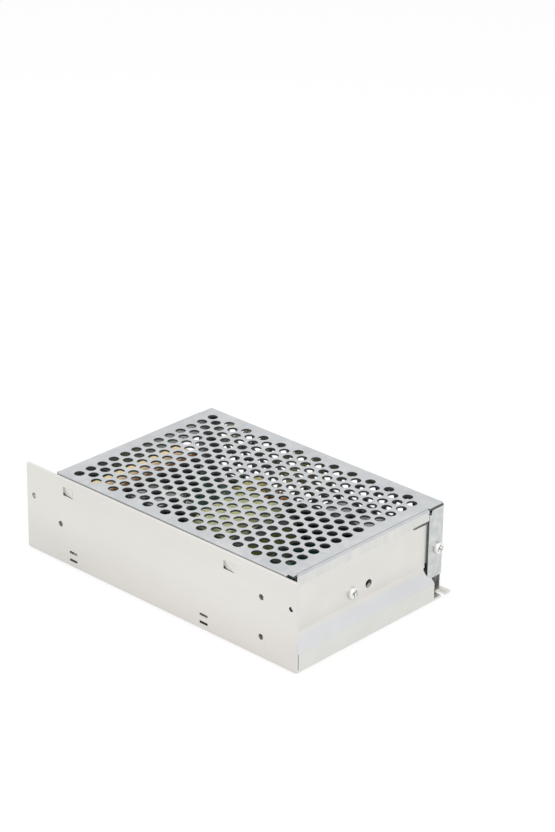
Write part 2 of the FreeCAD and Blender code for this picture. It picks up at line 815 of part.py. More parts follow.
def pan_screw(name, x, y, z, length, turn=FreeCAD.Rotation()):
    """Case screw with its head seated at the given place, and turned from pointing down."""
    item = cross_screw(name, "screw_radius", length, "screw_head_radius", "screw_head_height")
    item.Placement = FreeCAD.Placement(Vector(0, 0, 0), turn)
    return seat(item, x, y, z)


def screws():
    """Screws of the board, of the cover's foot and tab, and of the end wall."""
    seated = [pan_screw(f"board_screw_{number}", x, y, BOARD_TOP, "screw_length")
              for number, (x, y) in enumerate(BOARD_SCREWS)]
    finish(group("board_screws", *seated))
    x, y = FOOT_SCREW
    finish(group("foot_screw", pan_screw("foot_screw_body", x, y, f"{BOARD_TOP} + cover_gauge", "screw_length")))
    outward = FreeCAD.Rotation(Vector(0, 1, 0), 90)
    tab = pan_screw("tab_screw_body", COVER_REAR, "case_width - tab_screw_across", "tab_screw_height",
                    "screw_length", outward)
    finish(group("rear_tab_screw", tab))
    clamp = pan_screw("clamp_screw_body", END_FACE, "clamp_screw_across", "clamp_screw_height",
                      "base_gauge + pad_gauge + package_tab_gauge + nut_height + fold_gap", outward)
    finish(group("rear_clamp_screw", clamp))


BLOCK_LOW = BOARD_TOP
CELL_FLOOR = f"({BOARD_TOP} + block_floor)"
BLOCK_BACK = "(block_front + block_depth)"
BLOCK_WIDTH = f"(cell_pitch * {COUNTS['cells']} + barrier)"
HINGE_X = f"({BLOCK_BACK} - hinge_inset)"
HINGE_Z = f"({CELL_FLOOR} + hinge_height)"


def cell_middle(number):
    return f"(block_near + barrier / 2 + cell_pitch * {number + 0.5})"


def terminal_block():
    """Barrier block: one moulding with a stepped base, barriers, a rear wall and two hinge ears."""
    part = body("block_moulding")
    base = rectangle("block_front", BLOCK_LOW, "block_depth", "block_floor")
    pad(part, "base_step", "XZ", "block_near", [base], BLOCK_WIDTH)
    wall = rectangle(f"{BLOCK_BACK} - block_wall", CELL_FLOOR, "block_wall", "block_wall_height")
    pad(part, "rear_wall", "XZ", "block_near", [wall], BLOCK_WIDTH)
    low = f"{BLOCK_LOW} + block_floor / 2"
    top = f"{CELL_FLOOR} + barrier_height"
    fin = [
        ("block_front + barrier_front", low),
        (BLOCK_BACK, low),
        (BLOCK_BACK, top),
        ("block_front + barrier_front + barrier_slope", top),
        ("block_front + barrier_front", f"{top} - barrier_slope"),
    ]
    for number in range(COUNTS["cells"] + 1):
        pad(part, f"barrier_{number}", "XZ", f"block_near + cell_pitch * {number}", [fin], "barrier")
    ear = rectangle(f"{BLOCK_BACK} - block_wall", CELL_FLOOR, "block_wall", "ear_height")
    for name, start in (("near_ear", "block_near"), ("far_ear", f"block_near + {BLOCK_WIDTH} - barrier")):
        pad(part, name, "XZ", start, [ear], "barrier")
    ear_x = [size(f"{BLOCK_BACK} - block_wall"), size(BLOCK_BACK)]
    top_edges = [{"x": x, "z": size(f"{CELL_FLOOR} + ear_height")} for x in ear_x]
    round_off(part, "ear_rounds", "ear_round", *top_edges)
    pivot = (HINGE_X, HINGE_Z, "pin_radius + pin_gap")
    pocket(part, "pivot_holes", "XZ", "block_near", [pivot], BLOCK_WIDTH)
    wells = [
        prism(f"screw_well_{number}", ("block_front + terminal_screw_along", cell_middle(number),
                                       f"{CELL_FLOOR} - terminal_shank"),
              "terminal_screw_radius + well_gap", "terminal_shank")
        for number in range(COUNTS["cells"])
    ]
    return finish(cut("terminal_block", part, *wells))


def terminal_plates():
    """Bent metal plate in each cell, with a narrow tongue at the front and a hole for the screw."""
    for number in range(COUNTS["cells"]):
        part = body(f"plate_blank_{number + 1}")
        middle = cell_middle(number)
        back = "block_front + tongue_reach + plate_length"
        neck = "block_front + tongue_reach"
        outline = [
            ("block_front", f"{middle} - tongue_width / 2"),
            (neck, f"{middle} - tongue_width / 2"),
            (neck, f"{middle} - plate_width / 2"),
            (back, f"{middle} - plate_width / 2"),
            (back, f"{middle} + plate_width / 2"),
            (neck, f"{middle} + plate_width / 2"),
            (neck, f"{middle} + tongue_width / 2"),
            ("block_front", f"{middle} + tongue_width / 2"),
        ]
        pad(part, f"plate_{number}", "XY", CELL_FLOOR, [outline], "plate_gauge")
        hole = prism(f"plate_hole_{number}", ("block_front + terminal_screw_along", middle, CELL_FLOOR),
                     "terminal_screw_radius + well_gap", "plate_gauge")
        finish(cut(f"terminal_plate_{number + 1}", part, hole))


def terminal_screws():
    """Screw and square captive washer of each cell, clamped down on the plate."""
    for number in range(COUNTS["cells"]):
        middle = cell_middle(number)
        along = "(block_front + terminal_screw_along)"
        washer_low = f"{CELL_FLOOR} + plate_gauge"
        side = "washer_side / 2"
        square = block(f"washer_{number}", (f"-{side}", f"-{side}", "0"),
                       ("washer_side", "washer_side", "washer_gauge"))
        hole = prism(f"washer_hole_{number}", ("0", "0", "0"), "terminal_screw_radius + well_gap / 2",
                     "washer_gauge")
        finish(cut(f"clamp_washer_{number + 1}", square, hole), place=(along, middle, washer_low))
        screw = cross_screw(f"terminal_screw_{number + 1}", "terminal_screw_radius", "terminal_shank",
                            "terminal_head_radius", "terminal_head_height")
        finish(screw, place=(along, middle, f"{washer_low} + washer_gauge"))


def terminal_cover():
    """Hinged amber flap, with a bead along its free edge and a pin at each end of its hinge."""
    part = body("terminal_cover")
    near = "(block_near + barrier + flap_gap)"
    span = f"({BLOCK_WIDTH} - barrier * 2 - flap_gap * 2)"
    leaf = [
        ("0", "0"),
        ("0", "flap_gauge"),
        ("-flap_reach", "flap_gauge"),
        ("-flap_reach", "0"),
    ]
    pad(part, "leaf", "XZ", near, [leaf], span)
    free_corners = [{"x": -size("flap_reach"), "y": size(near)},
                    {"x": -size("flap_reach"), "y": size(f"{near} + {span}")}]
    round_off(part, "leaf_rounds", "flap_corner", *free_corners)
    bead = facets("-flap_reach", "flap_gauge / 2", "flap_bead")
    pad(part, "bead", "XZ", f"{near} + flap_corner", [bead], f"{span} - flap_corner * 2")
    pad(part, "barrel", "XZ", near, [("0", "flap_gauge / 2", "pin_radius + flap_gauge / 3")], span)
    pin = ("0", "flap_gauge / 2", "pin_radius")
    pad(part, "pins", "XZ", "block_near + pin_gap", [pin], f"{BLOCK_WIDTH} - pin_gap * 2")
    part.Placement = FreeCAD.Placement(Vector(0, 0, 0), FreeCAD.Rotation(Vector(0, 1, 0), size("flap_tilt")))
    part.setExpression("Placement.Rotation.Angle", bound("flap_tilt"))
    rise = "flap_gauge / 2"
    return finish(part, place=(f"{HINGE_X} - {rise} * sin(flap_tilt * 1deg)", "0",
                               f"{HINGE_Z} - {rise} * cos(flap_tilt * 1deg)"))


def rounded_block(name, low, spans, radius, *where):
    """Block with some of its edges rounded, its low corner at the body's own origin."""
    part = body(name)
    length, width, height = spans
    pad(part, name + "_block", "XY", "0", [rectangle("0", "0", length, width)], height)
    if where:
        round_off(part, name + "_rounds", radius, *where)
    return seat(part, *low)


def lead(name, x, y, z):
    """Wire from a part's underside down into the board."""
    return prism(name, (x, y, BOARD_TOP), "lead_radius", f"{z} - {BOARD_TOP}", sides="wire_sides")


def trimmer():
    """Blue adjuster body on three leads, and its white slotted dial."""
    low = f"({BOARD_TOP} + trimmer_lift)"
    shell = prism("trimmer_shell", ("trimmer_along", "trimmer_across", low), "trimmer_radius",
                  "trimmer_body_height", sides="can_sides")
    socket = rod("trimmer_socket", ("trimmer_along", "trimmer_across", low), "dial_spindle + pin_gap",
                 "trimmer_body_height")
    legs = [
        lead(f"trimmer_leg_{number}", f"trimmer_along + {x} * trimmer_radius / 2",
             f"trimmer_across + {y} * trimmer_radius / 2", low)
        for number, (x, y) in enumerate([("-1", "-1"), ("-1", "1"), ("1", "0")])
    ]
    finish(fuse("trimmer_body", cut("trimmer_ring", shell, socket), *legs))
    dial = body("trimmer_dial")
    pad(dial, "dial_face", "XY", "trimmer_body_height + pin_gap", [("0", "0", "dial_radius")], "dial_height")
    pad(dial, "spindle", "XY", "trimmer_body_height / 4", [("0", "0", "dial_spindle")], "trimmer_body_height")
    slot = rectangle("-(dial_radius)", "-(drive_width / 2)", "dial_radius * 2", "drive_width")
    slot_low = "trimmer_body_height + pin_gap + dial_height - drive_depth"
    pocket(dial, "dial_slot", "XY", slot_low, [slot], "drive_depth")
    finish(dial, place=("trimmer_along", "trimmer_across", low))


def signal_lamp():
    """Small green lamp: flange, barrel and a narrowed top."""
    x, y = ("lamp_along", "lamp_across")
    shoulder = "(lamp_height - lamp_radius)"
    flange = prism("lamp_flange", (x, y, BOARD_TOP), "lamp_radius + lead_radius", "lead_rise",
                   sides="round_sides")
    barrel = rod("lamp_barrel", (x, y, BOARD_TOP), "lamp_radius", shoulder)
    top = doc.addObject("Part::Cone", "lamp_top")
    top.setExpression("Radius1", bound("lamp_radius"))
    top.setExpression("Radius2", bound("lamp_radius / 2"))
    top.setExpression("Height", bound("lamp_radius"))
    seat(top, x, y, f"{BOARD_TOP} + {shoulder}")
    finish(fuse("power_led", flange, barrel, top))


def transformer():
    """Ferrite frame whose middle leg runs along the case through a taped winding with a crowned top."""
    half_x = "(winding_width / 2 + fold_gap)"
    half_y = "(winding_length / 2)"
    low = f"({BOARD_TOP} + core_lift)"
    core_top = f"({low} + core_height)"
    core = body("transformer_core")
    outer = rectangle(f"transformer_along - {half_x} - core_leg", f"transformer_across - {half_y}",
                      f"{half_x} * 2 + core_leg * 2", f"{half_y} * 2")
    window = f"({half_y} - outer_leg - centre_leg / 2)"
    near_window = rectangle(f"transformer_along - {half_x}", f"transformer_across - {half_y} + outer_leg",
                            f"{half_x} * 2", window)
    far_window = rectangle(f"transformer_along - {half_x}", "transformer_across + centre_leg / 2",
                           f"{half_x} * 2", window)
    pad(core, "core_frame", "XY", low, [outer, near_window, far_window], "core_height")
    finish(core)
    winding = body("transformer_winding")
    inner = f"({half_y} - outer_leg - fold_gap)"
    shoulder = f"({core_top} + fold_gap)"
    top = f"({BOARD_TOP} + winding_top)"
    half_section = [
        (inner, f"{BOARD_TOP} + winding_lift"),
        (inner, shoulder),
        (half_y, shoulder),
        (half_y, f"{top} - crown_fall"),
        ("crown_half * 1.6", f"{top} - crown_fall / 3"),
        ("crown_half", top),
    ]
    section = [(f"transformer_across + {y}", z) for y, z in half_section]
    section += [(f"transformer_across - {y}", z) for y, z in reversed(half_section)]
    start = "transformer_along - winding_width / 2"
    pad(winding, "turns", "YZ", start, [section], "winding_width")
    tunnel = rectangle("transformer_across - centre_leg / 2 - fold_gap", f"{low} - fold_gap",
                       "centre_leg + fold_gap * 2", "core_height + fold_gap * 2")
    pocket(winding, "leg_tunnel", "YZ", start, [tunnel], "winding_width")
    finish(winding)
    pins = []
    for number in range(COUNTS["winding_pins"]):
        side = -1 if number % 2 else 1
        place = number // 2 - (COUNTS["winding_pins"] // 2 - 1) / 2
        pins.append(lead(f"winding_pin_{number}", f"transformer_along + {place} * winding_pin_pitch",
                         f"transformer_across + {side} * crown_half", f"({BOARD_TOP} + winding_lift)"))
    finish(group("transformer_pins", *pins))


def can(name, x, y, radius, height, sides="round_sides"):
    """Capacitor can: sleeve with a rolled crown, its top set down a little."""
    sleeve = prism(name + "_sleeve", (x, y, f"{BOARD_TOP} + body_lift"), radius, height, sides=sides)
    crown = prism(name + "_crown", (x, y, f"{BOARD_TOP} + body_lift + {height} - crown_depth"),
                  f"{radius} - crown_inset", "crown_depth", sides=sides)
    solid = cut(name + "_can", sleeve, crown)
    legs = [lead(f"{name}_leg_{number}", x, f"{y} + {side} * {radius} / 2", f"({BOARD_TOP} + body_lift * 2)")
            for number, side in enumerate((-1, 1))]
    return fuse(name, solid, *legs)


def capacitors():
    """Bulk, output and small cans, the boxed line capacitor and the disc capacitor."""
    bulk = [can(f"bulk_can_{number}", f"(bulk_along + bulk_spacing * {number})", "bulk_across", "bulk_radius",
                "bulk_height", "can_sides") for number in range(2)]
    finish(group("bulk_capacitors", *bulk))
    output = [can(f"output_can_{number}", f"(output_cap_along + output_cap_spacing * {number % 2})",
                  f"(output_cap_across - output_cap_spacing * {number // 2})", "output_cap_radius",
                  "output_cap_height", "can_sides") for number in range(4)]
    finish(group("output_capacitors", *output))
    small_places = [
        ("front_can_along", "front_can_across"),
        ("(chip_along + chip_can_offset)", "(chip_across - chip_width)"),
        ("(chip_along - chip_length)", "(chip_across - chip_width)"),
    ]
    small = [can(f"small_can_{number}", x, y, "small_cap_radius", "small_cap_height")
             for number, (x, y) in enumerate(small_places)]
    finish(group("small_capacitors", *small))
    rise = size("line_cap_height")
    corner_edges = [{"z": rise, "x": 0.0}, {"z": rise, "x": size("line_cap_width")},
                    {"z": rise, "y": 0.0}, {"z": rise, "y": size("line_cap_length")}]
    box = rounded_block("line_cap_box", ("line_cap_along - line_cap_width / 2",
                                         "line_cap_across - line_cap_length / 2", f"{BOARD_TOP} + body_lift"),
                        ("line_cap_width", "line_cap_length", "line_cap_height"), "body_lift * 2", *corner_edges)
    legs = [lead(f"line_cap_leg_{number}", "line_cap_along", f"line_cap_across + {side} * line_cap_length / 3",
                 f"({BOARD_TOP} + body_lift * 2)") for number, side in enumerate((-1, 1))]
    finish(fuse("line_capacitor", box, *legs))
    disc = prism("disc_face", ("disc_along - disc_thickness / 2", "disc_across",
                               f"{BOARD_TOP} + disc_radius + lead_rise * 2"), "disc_radius", "disc_thickness",
                 "x", "can_sides")
    legs = [lead(f"disc_leg_{number}", "disc_along", f"disc_across + {side} * disc_radius / 2",
                 f"({BOARD_TOP} + disc_radius / 2 + lead_rise * 2)") for number, side in enumerate((-1, 1))]
    finish(fuse("disc_capacitor", disc, *legs))


def ring(name, x, y, low, radius, hole, height):
    """Upright-axis ring, such as a ferrite core."""
    outside = prism(name + "_outside", (x, y, low), radius, height, sides="can_sides")
    inside = prism(name + "_inside", (x, y, low), hole, height, sides="can_sides")
    return cut(name, outside, inside)


def wound_ring(prefix, x, y, radius, hole, height, gap_along):
    """Core ring, and a winding round it that leaves a gap across its middle."""
    low = f"({BOARD_TOP} + turn_radius * 2 + body_lift)"
    reach = "(turn_radius * 2)"
    core = ring(prefix + "_core", x, y, low, radius, hole, height)
    finish(core)
    bundle = ring(prefix + "_bundle", x, y, f"{low} - {reach}", f"{radius} + {reach}", f"{hole} - {reach}",
                  f"{height} + {reach} * 2")
    room = ring(prefix + "_room", x, y, f"{low} - turn_clearance", f"{radius} + turn_clearance",
                f"{hole} - turn_clearance", f"{height} + turn_clearance * 2")
    gap = block(prefix + "_gap", (f"{x} - ({radius}) * 2", f"{y} - {gap_along} / 2", f"{low} - {reach}"),
                (f"({radius}) * 4", gap_along, f"{height} + {reach} * 2"))
    coils = cut(prefix + "_coils", bundle, room, gap)
    legs = [
        prism(f"{prefix}_leg_{number}", (x, f"{y} + {side} * ({radius} + turn_radius)", BOARD_TOP),
              "turn_radius", "turn_radius + body_lift")
        for number, side in enumerate((-1, 1))
    ]
    finish(fuse(prefix + "_winding", coils, *legs))


def line_parts():
    """Fuse in its clips, and the thermistor disc."""
    axis = f"({BOARD_TOP} + fuse_lift + fuse_radius)"
    tube = prism("fuse_tube", ("fuse_along - fuse_length / 2 + fuse_cap_length / 2", "fuse_across", axis),
                 "fuse_radius - pad_gauge", "fuse_length - fuse_cap_length", "x", "round_sides")
    caps = [
        prism(f"fuse_cap_{number}", (start, "fuse_across", axis), "fuse_radius", "fuse_cap_length", "x",
              "round_sides")
        for number, start in enumerate(["fuse_along - fuse_length / 2",
                                        "fuse_along + fuse_length / 2 - fuse_cap_length"])
    ]
    finish(fuse("fuse", tube, *caps))
    clips = []
    for number, start in enumerate(["fuse_along - fuse_length / 2 + package_tab_gauge",
                                    "fuse_along + fuse_length / 2 - fuse_cap_length + package_tab_gauge"]):
        jaw = block(f"clip_jaw_{number}", (start, "fuse_across - fuse_radius - plate_gauge", BOARD_TOP),
                    ("tongue_width - pad_gauge", "fuse_radius * 2 + plate_gauge * 2",
                     "fuse_lift + clip_height"))
        room = prism(f"clip_room_{number}", (start, "fuse_across", axis), "fuse_radius + pin_gap",
                     "tongue_width", "x", "round_sides")
        mouth = block(f"clip_mouth_{number}", (start, "fuse_across - clip_mouth / 2", axis),
                      ("tongue_width", "clip_mouth", "fuse_radius * 2"))
        clips.append(cut(f"clip_{number}", jaw, room, mouth))
    finish(group("fuse_clips", *clips))
    disc = prism("thermistor_face", ("thermistor_along - disc_thickness / 2", "thermistor_across",
                                     f"{BOARD_TOP} + disc_radius + lead_rise * 2"),
                 "disc_radius + plate_gauge", "disc_thickness", "x", "can_sides")
    legs = [lead(f"thermistor_leg_{number}", "thermistor_along",
                 f"thermistor_across + {side} * disc_radius / 2",
                 f"({BOARD_TOP} + disc_radius / 2 + lead_rise * 2)") for number, side in enumerate((-1, 1))]
    finish(fuse("thermistor", disc, *legs))


def bridge_rectifier():
    """Flat four-lead bridge with one clipped corner."""
    part = body("bridge_block")
    base = f"{BOARD_TOP} + lead_rise * 2"
    clipped = "package_tab_gauge * 2"
    left = "bridge_along - bridge_body_length / 2"
    face = [
        (left, base),
        (f"{left} + bridge_body_length", base),
        (f"{left} + bridge_body_length", f"{base} + bridge_body_height"),
        (f"{left} + {clipped}", f"{base} + bridge_body_height"),
        (left, f"{base} + bridge_body_height - {clipped}"),
    ]
    pad(part, "bridge_face", "XZ", "bridge_across - bridge_body_thickness / 2", [face],
        "bridge_body_thickness")
    legs = [lead(f"bridge_leg_{number}", f"{left} + bridge_body_length * {0.5 + number} / 4", "bridge_across",
                 f"({base} + body_lift)") for number in range(4)]
    finish(fuse("bridge_rectifier", part, *legs))


def tab_package(name, face, middle, hole_height):
    """Three-lead package standing with its metal tab's back at x = face, towards +X."""
    top = f"({hole_height} + package_tab / 2)"
    tab = block(name + "_tab", (f"{face} - package_tab_gauge", f"{middle} - package_width / 2",
                                f"{top} - package_tab - package_tab_gauge"),
                ("package_tab_gauge", "package_width", "package_tab + package_tab_gauge"))
    hole = prism(name + "_hole", (f"{face} - package_tab_gauge", middle, hole_height),
                 "screw_radius + well_gap", "package_tab_gauge", "x")
    shell_low = f"({top} - package_height)"
    shell = block(name + "_shell", (f"{face} - package_gauge", f"{middle} - package_width / 2", shell_low),
                  ("package_gauge", "package_width", "package_height - package_tab"))
    legs = [
        block(f"{name}_leg_{number}", (f"{face} - package_gauge / 2 - lead_radius",
                                       f"{middle} + {place} * package_width / 4 - lead_radius", BOARD_TOP),
              ("lead_radius * 2", "lead_radius * 2", f"{shell_low} - {BOARD_TOP}"))
        for number, place in enumerate((-1, 0, 1))
    ]
    return fuse(name, cut(name + "_tab_cut", tab, hole), shell, *legs)


def nut(name, x, y, z, axis="x"):
    """Hexagon nut from the middle of its face, along one axis."""
    part = doc.addObject("Part::Prism", name + "_prism")
    part.Polygon = 6
    part.setExpression("Circumradius", bound("nut_radius"))
    part.setExpression("Height", bound("nut_height"))
    part.Placement = FreeCAD.Placement(Vector(0, 0, 0), TURNS[axis])
    seat(part, x, y, z)
    bore = prism(name + "_bore", (x, y, z), "screw_radius + pin_gap", "nut_height", axis)
    return cut(name, part, bore)


def end_wall_transistor():
    """Power transistor held to the end wall by the rear screw and a nut, over an insulating pad."""
    face = f"({END_INNER} - pad_gauge)"
    finish(tab_package("power_transistor", face, "clamp_screw_across", "clamp_screw_height"))
    pad_low = "(clamp_screw_height + package_tab / 2 - package_height)"
    slip = block("pad_slip", (face, "clamp_screw_across - package_width / 2 - pad_overhang", pad_low),
                 ("pad_gauge", "package_width + pad_overhang * 2", "package_height + pad_overhang"))
    slip_hole = prism("pad_hole", (face, "clamp_screw_across", "clamp_screw_height"),
                      "screw_radius + well_gap", "pad_gauge", "x")
    finish(cut("transistor_pad", slip, slip_hole))
    finish(nut("clamp_nut", f"{face} - package_tab_gauge - nut_height", "clamp_screw_across",
               "clamp_screw_height"))


def rectifier_sink():
    """Upright aluminium plate with a folded top, and the output rectifier screwed to it."""
    low = BOARD_TOP
    left = "rectifier_along - sink_length / 2"
    plate = block("sink_plate", (left, "sink_across", low), ("sink_length", "base_gauge", "sink_height"))
    fold = block("sink_fold", (left, "sink_across - sink_fold", f"{low} + sink_height - base_gauge"),
                 ("sink_length", "sink_fold", "base_gauge"))
    hole_height = f"({low} + rectifier_lift + package_height - package_tab / 2)"
    hole = prism("sink_hole", ("rectifier_along", "sink_across", hole_height), "screw_radius + well_gap",
                 "base_gauge", "y")
    finish(cut("rectifier_heatsink", fuse("sink_blank", plate, fold), hole))
    package = tab_package("output_rectifier", "0", "0", hole_height)
    package.Placement = FreeCAD.Placement(Vector(0, 0, 0), FreeCAD.Rotation(Vector(0, 0, 1), 90))
    finish(package, place=("rectifier_along", "sink_across", "0"))
    inward = FreeCAD.Rotation(Vector(1, 0, 0), 90)
    screw = pan_screw("sink_screw_body", "rectifier_along", "sink_across - package_tab_gauge", hole_height,
                      "package_tab_gauge + base_gauge + nut_height + fold_gap", inward)
    back = nut("sink_nut", "rectifier_along", "sink_across + base_gauge", hole_height, "y")
    finish(group("sink_screw", screw, back))


def small_parts():
    """Control chip, coupler, resistors and diodes that lie on the board."""
    for name, x, y, length in (("control_chip", "chip_along", "chip_across", "chip_length"),
                               ("optocoupler", "coupler_along", "coupler_across", "coupler_length")):
        shell = block(name + "_shell", (f"{x} - {length} / 2", f"{y} - chip_width / 2",
                                        f"{BOARD_TOP} + lead_rise"), (length, "chip_width", "chip_height"))
        pins = []
        count = 4 if length == "chip_length" else 2
        for number in range(count):
            for side in (-1, 1):
                place = f"{x} + {length} * {(number + 0.5) / count - 0.5} - lead_radius"
                start = f"{y} + {side} * (chip_width / 2 + lead_radius) - lead_radius"
                pins.append(block(f"{name}_pin_{number}_{side + 1}", (place, start, BOARD_TOP),
                                  ("lead_radius * 2", "lead_radius * 2", "lead_rise + chip_height / 2")))
        finish(fuse(name, shell, *pins))
    spots = [("lamp_along", "(lamp_across + lamp_resistor_gap)"),
             ("(disc_along + disc_radius)", "(disc_across - disc_radius * 2)"),
             ("(coupler_along + chip_length)", "chip_across")]
    resistors = []
    for number, (x, y) in enumerate(spots):
        resistors.append(prism(f"resistor_{number}", (f"{x} - resistor_length / 2", y,
                                                      f"{BOARD_TOP} + resistor_radius"), "resistor_radius",
                               "resistor_length", "x"))
    finish(group("small_resistors", *resistors))


def output_inductor_parts():
    wound_ring("line_choke", "choke_along", "choke_across", "choke_radius", "choke_hole", "choke_height",
               "choke_hole")
    wound_ring("output_inductor", "inductor_along", "inductor_across", "inductor_radius", "inductor_hole",
               "inductor_height", "turn_radius * 4")


def write_parts():
    """Check every object of the document, then write one STEP file for each sub-part."""
    doc.recompute()
    for item in doc.Objects:
        if "Invalid" in item.State or "Error" in item.State:
            raise RuntimeError(f"{item.Label} failed: {item.State}")
    os.makedirs("parts", exist_ok=True)
    for item in finished:
        shape = item.Shape
        if shape.isNull() or not shape.isValid():
            raise RuntimeError(f"{item.Label} has no valid shape")
        shape.exportStep(f"parts/{item.Label}.step")
        print(item.Label, len(shape.Solids), round(shape.Volume, 1))


def main():
    base_chassis()
    mesh_cover()
    circuit_board()
    insulating_sheet()
    board_standoffs()
    screws()
    terminal_block()
    terminal_plates()
    terminal_screws()
    terminal_cover()
    trimmer()
    signal_lamp()
    transformer()
    capacitors()
    output_inductor_parts()
    line_parts()
    bridge_rectifier()
    end_wall_transistor()
    rectifier_sink()
    small_parts()
    write_parts()


main()
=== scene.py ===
"""Looks of the mesh case power supply: its folded cover, its fittings, their finishes and the studio."""

import logging
import math
from contextlib import contextmanager
from dataclasses import dataclass
from enum import Enum
from typing import Callable, Iterator, Sequence

import bmesh
import bpy
from mathutils import Euler, Matrix, Vector

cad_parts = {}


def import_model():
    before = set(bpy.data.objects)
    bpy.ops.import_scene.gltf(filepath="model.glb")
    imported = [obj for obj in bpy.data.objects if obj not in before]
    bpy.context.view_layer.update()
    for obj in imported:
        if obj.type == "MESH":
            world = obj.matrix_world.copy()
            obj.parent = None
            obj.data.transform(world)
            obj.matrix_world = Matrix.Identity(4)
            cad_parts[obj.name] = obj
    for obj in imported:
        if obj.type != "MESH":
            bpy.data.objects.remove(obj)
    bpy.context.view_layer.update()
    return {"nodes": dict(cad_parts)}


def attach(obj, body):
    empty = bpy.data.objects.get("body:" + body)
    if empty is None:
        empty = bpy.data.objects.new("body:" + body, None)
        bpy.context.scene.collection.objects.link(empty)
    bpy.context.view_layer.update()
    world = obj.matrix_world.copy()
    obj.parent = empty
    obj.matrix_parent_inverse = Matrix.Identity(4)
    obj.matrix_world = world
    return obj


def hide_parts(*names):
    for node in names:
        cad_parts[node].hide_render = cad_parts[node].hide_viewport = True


MM = 0.001
CASE_LENGTH = 160.0
CASE_WIDTH = 98.0
CASE_TOP = 42.0
BOARD_TOP = 8.6
QUARTER = math.pi / 2
BEND_STEPS = 5
WELD = 0.02

Item = bpy.types.Object
Socket = bpy.types.NodeSocket
Place = Callable[[float, float, float], bool]
Point = tuple[float, float, float]
Profile = list[tuple[float, float]]

CORNER: Point = (CASE_LENGTH / 2, CASE_WIDTH / 2, 0.0)
AXIS: Point = (0.0, 0.0, 0.0)

log = logging.getLogger("power_supply")


class Pick(Enum):
    """What a selection is made of."""

    POINTS = "VERT"
    EDGES = "EDGE"
    FACES = "FACE"


class Body(Enum):
    """Bodies of the frame that pieces ride on."""

    CASE = "case"
    FLAP = "flap"
    DIAL = "dial"


def spot(x: float, y: float, z: float) -> Vector:
    """Point of the frame, in metres, from millimetres off the corner of the case.

    Args:
        x: Distance from the terminal end.
        y: Distance from the outer face of the solid side wall.
        z: Height over the floor that the case stands on.

    Returns:
        The same point in the part's own frame.
    """
    return Vector((x - CASE_LENGTH / 2, y - CASE_WIDTH / 2, z)) * MM


def near(value: float, target: float, slack: float = 0.05) -> bool:
    """Whether two places in millimetres are the same within the slack."""
    return abs(value - target) < slack


def place_of(point: Vector, origin: Point = CORNER) -> Point:
    """Place of a point in millimetres off the case's corner, or off the axis that it is made on."""
    return (point.x / MM + origin[0], point.y / MM + origin[1], point.z / MM + origin[2])


def select_only(*objects: Item) -> None:
    """Leave edit mode with just these objects selected, the first of them active."""
    if bpy.context.mode != "OBJECT":
        bpy.ops.object.mode_set(mode="OBJECT")
    bpy.ops.object.select_all(action="DESELECT")
    for item in objects:
        item.select_set(True)
    if objects:
        bpy.context.view_layer.objects.active = objects[0]


@contextmanager
def editing(item: Item) -> Iterator[None]:
    """Edit mode on one object, with all of it selected, for the length of a with block."""
    select_only(item)
    bpy.ops.object.mode_set(mode="EDIT")
    bpy.ops.mesh.select_all(action="SELECT")
    yield
    bpy.ops.object.mode_set(mode="OBJECT")


def pick(item: Item, kind: Pick, wanted: Place, origin: Point = CORNER) -> None:
    """Select the elements in edit mode whose every corner lies where it should.

    Args:
        item: The object in edit mode.
        kind: What the selection is made of.
        wanted: Test of a corner's place in millimetres.
        origin: What the places are counted from, CORNER or AXIS.
    """
    bpy.ops.mesh.select_mode(type=kind.value)
    bpy.ops.mesh.select_all(action="DESELECT")
    mesh = bmesh.from_edit_mesh(item.data)
    elements = {Pick.POINTS: mesh.verts, Pick.EDGES: mesh.edges, Pick.FACES: mesh.faces}[kind]
    for element in elements:
        corners = [element] if kind is Pick.POINTS else element.verts
        if all(wanted(*place_of(corner.co, origin)) for corner in corners):
            element.select_set(True)
    mesh.select_flush_mode()
    bmesh.update_edit_mesh(item.data)


def shift(x: float, y: float, z: float) -> None:
    """Move what is selected in edit mode by millimetres."""
    bpy.ops.transform.translate(value=Vector((x, y, z)) * MM)


def draw_out(x: float, y: float, z: float) -> None:
    """Extrude the selected edges by millimetres."""
    bpy.ops.mesh.extrude_edges_move(TRANSFORM_OT_translate={"value": Vector((x, y, z)) * MM})


def fold(centre: Vector, axis: Point) -> None:
    """Bend the selected edges by a right angle, as a folding machine does.

    Args:
        centre: A point of the bend's axis.
        axis: Direction of the axis, against the turn.
    """
    bpy.ops.mesh.spin(steps=BEND_STEPS, angle=QUARTER, center=centre, axis=axis)


def apply_modifier(item: Item, kind: str, **settings: object) -> None:
    """Give an object a modifier with these settings, and apply it."""
    select_only(item)
    modifier = item.modifiers.new(kind.lower(), kind)
    for name, value in settings.items():
        setattr(modifier, name, value)
    bpy.ops.object.modifier_apply(modifier=modifier.name)


def repeat(item: Item, count: int, step: Point) -> None:
    """Copy a mesh along a step in millimetres, and weld the copies where they touch."""
    apply_modifier(item, "ARRAY", count=count, use_relative_offset=False, use_constant_offset=True,
                   constant_offset_displace=Vector(step) * MM, use_merge_vertices=True,
                   merge_threshold=WELD * MM)


def join(name: str, pieces: Sequence[Item]) -> Item:
    """Join pieces into the first of them, under a new name."""
    select_only(*pieces)
    if len(pieces) > 1:
        bpy.ops.object.join()
    joined = bpy.context.view_layer.objects.active
    joined.name = name
    joined.data.name = name
    return joined


def settle(item: Item) -> None:
    """Put an object's place and turn into its mesh, and leave the object at the origin."""
    select_only(item)
    bpy.ops.object.transform_apply(location=True, rotation=True, scale=True)


def smooth(item: Item, degrees: float = 38.0) -> None:
    """Shade an object smooth over its shallow edges."""
    select_only(item)
    bpy.ops.object.shade_smooth_by_angle(angle=math.radians(degrees))


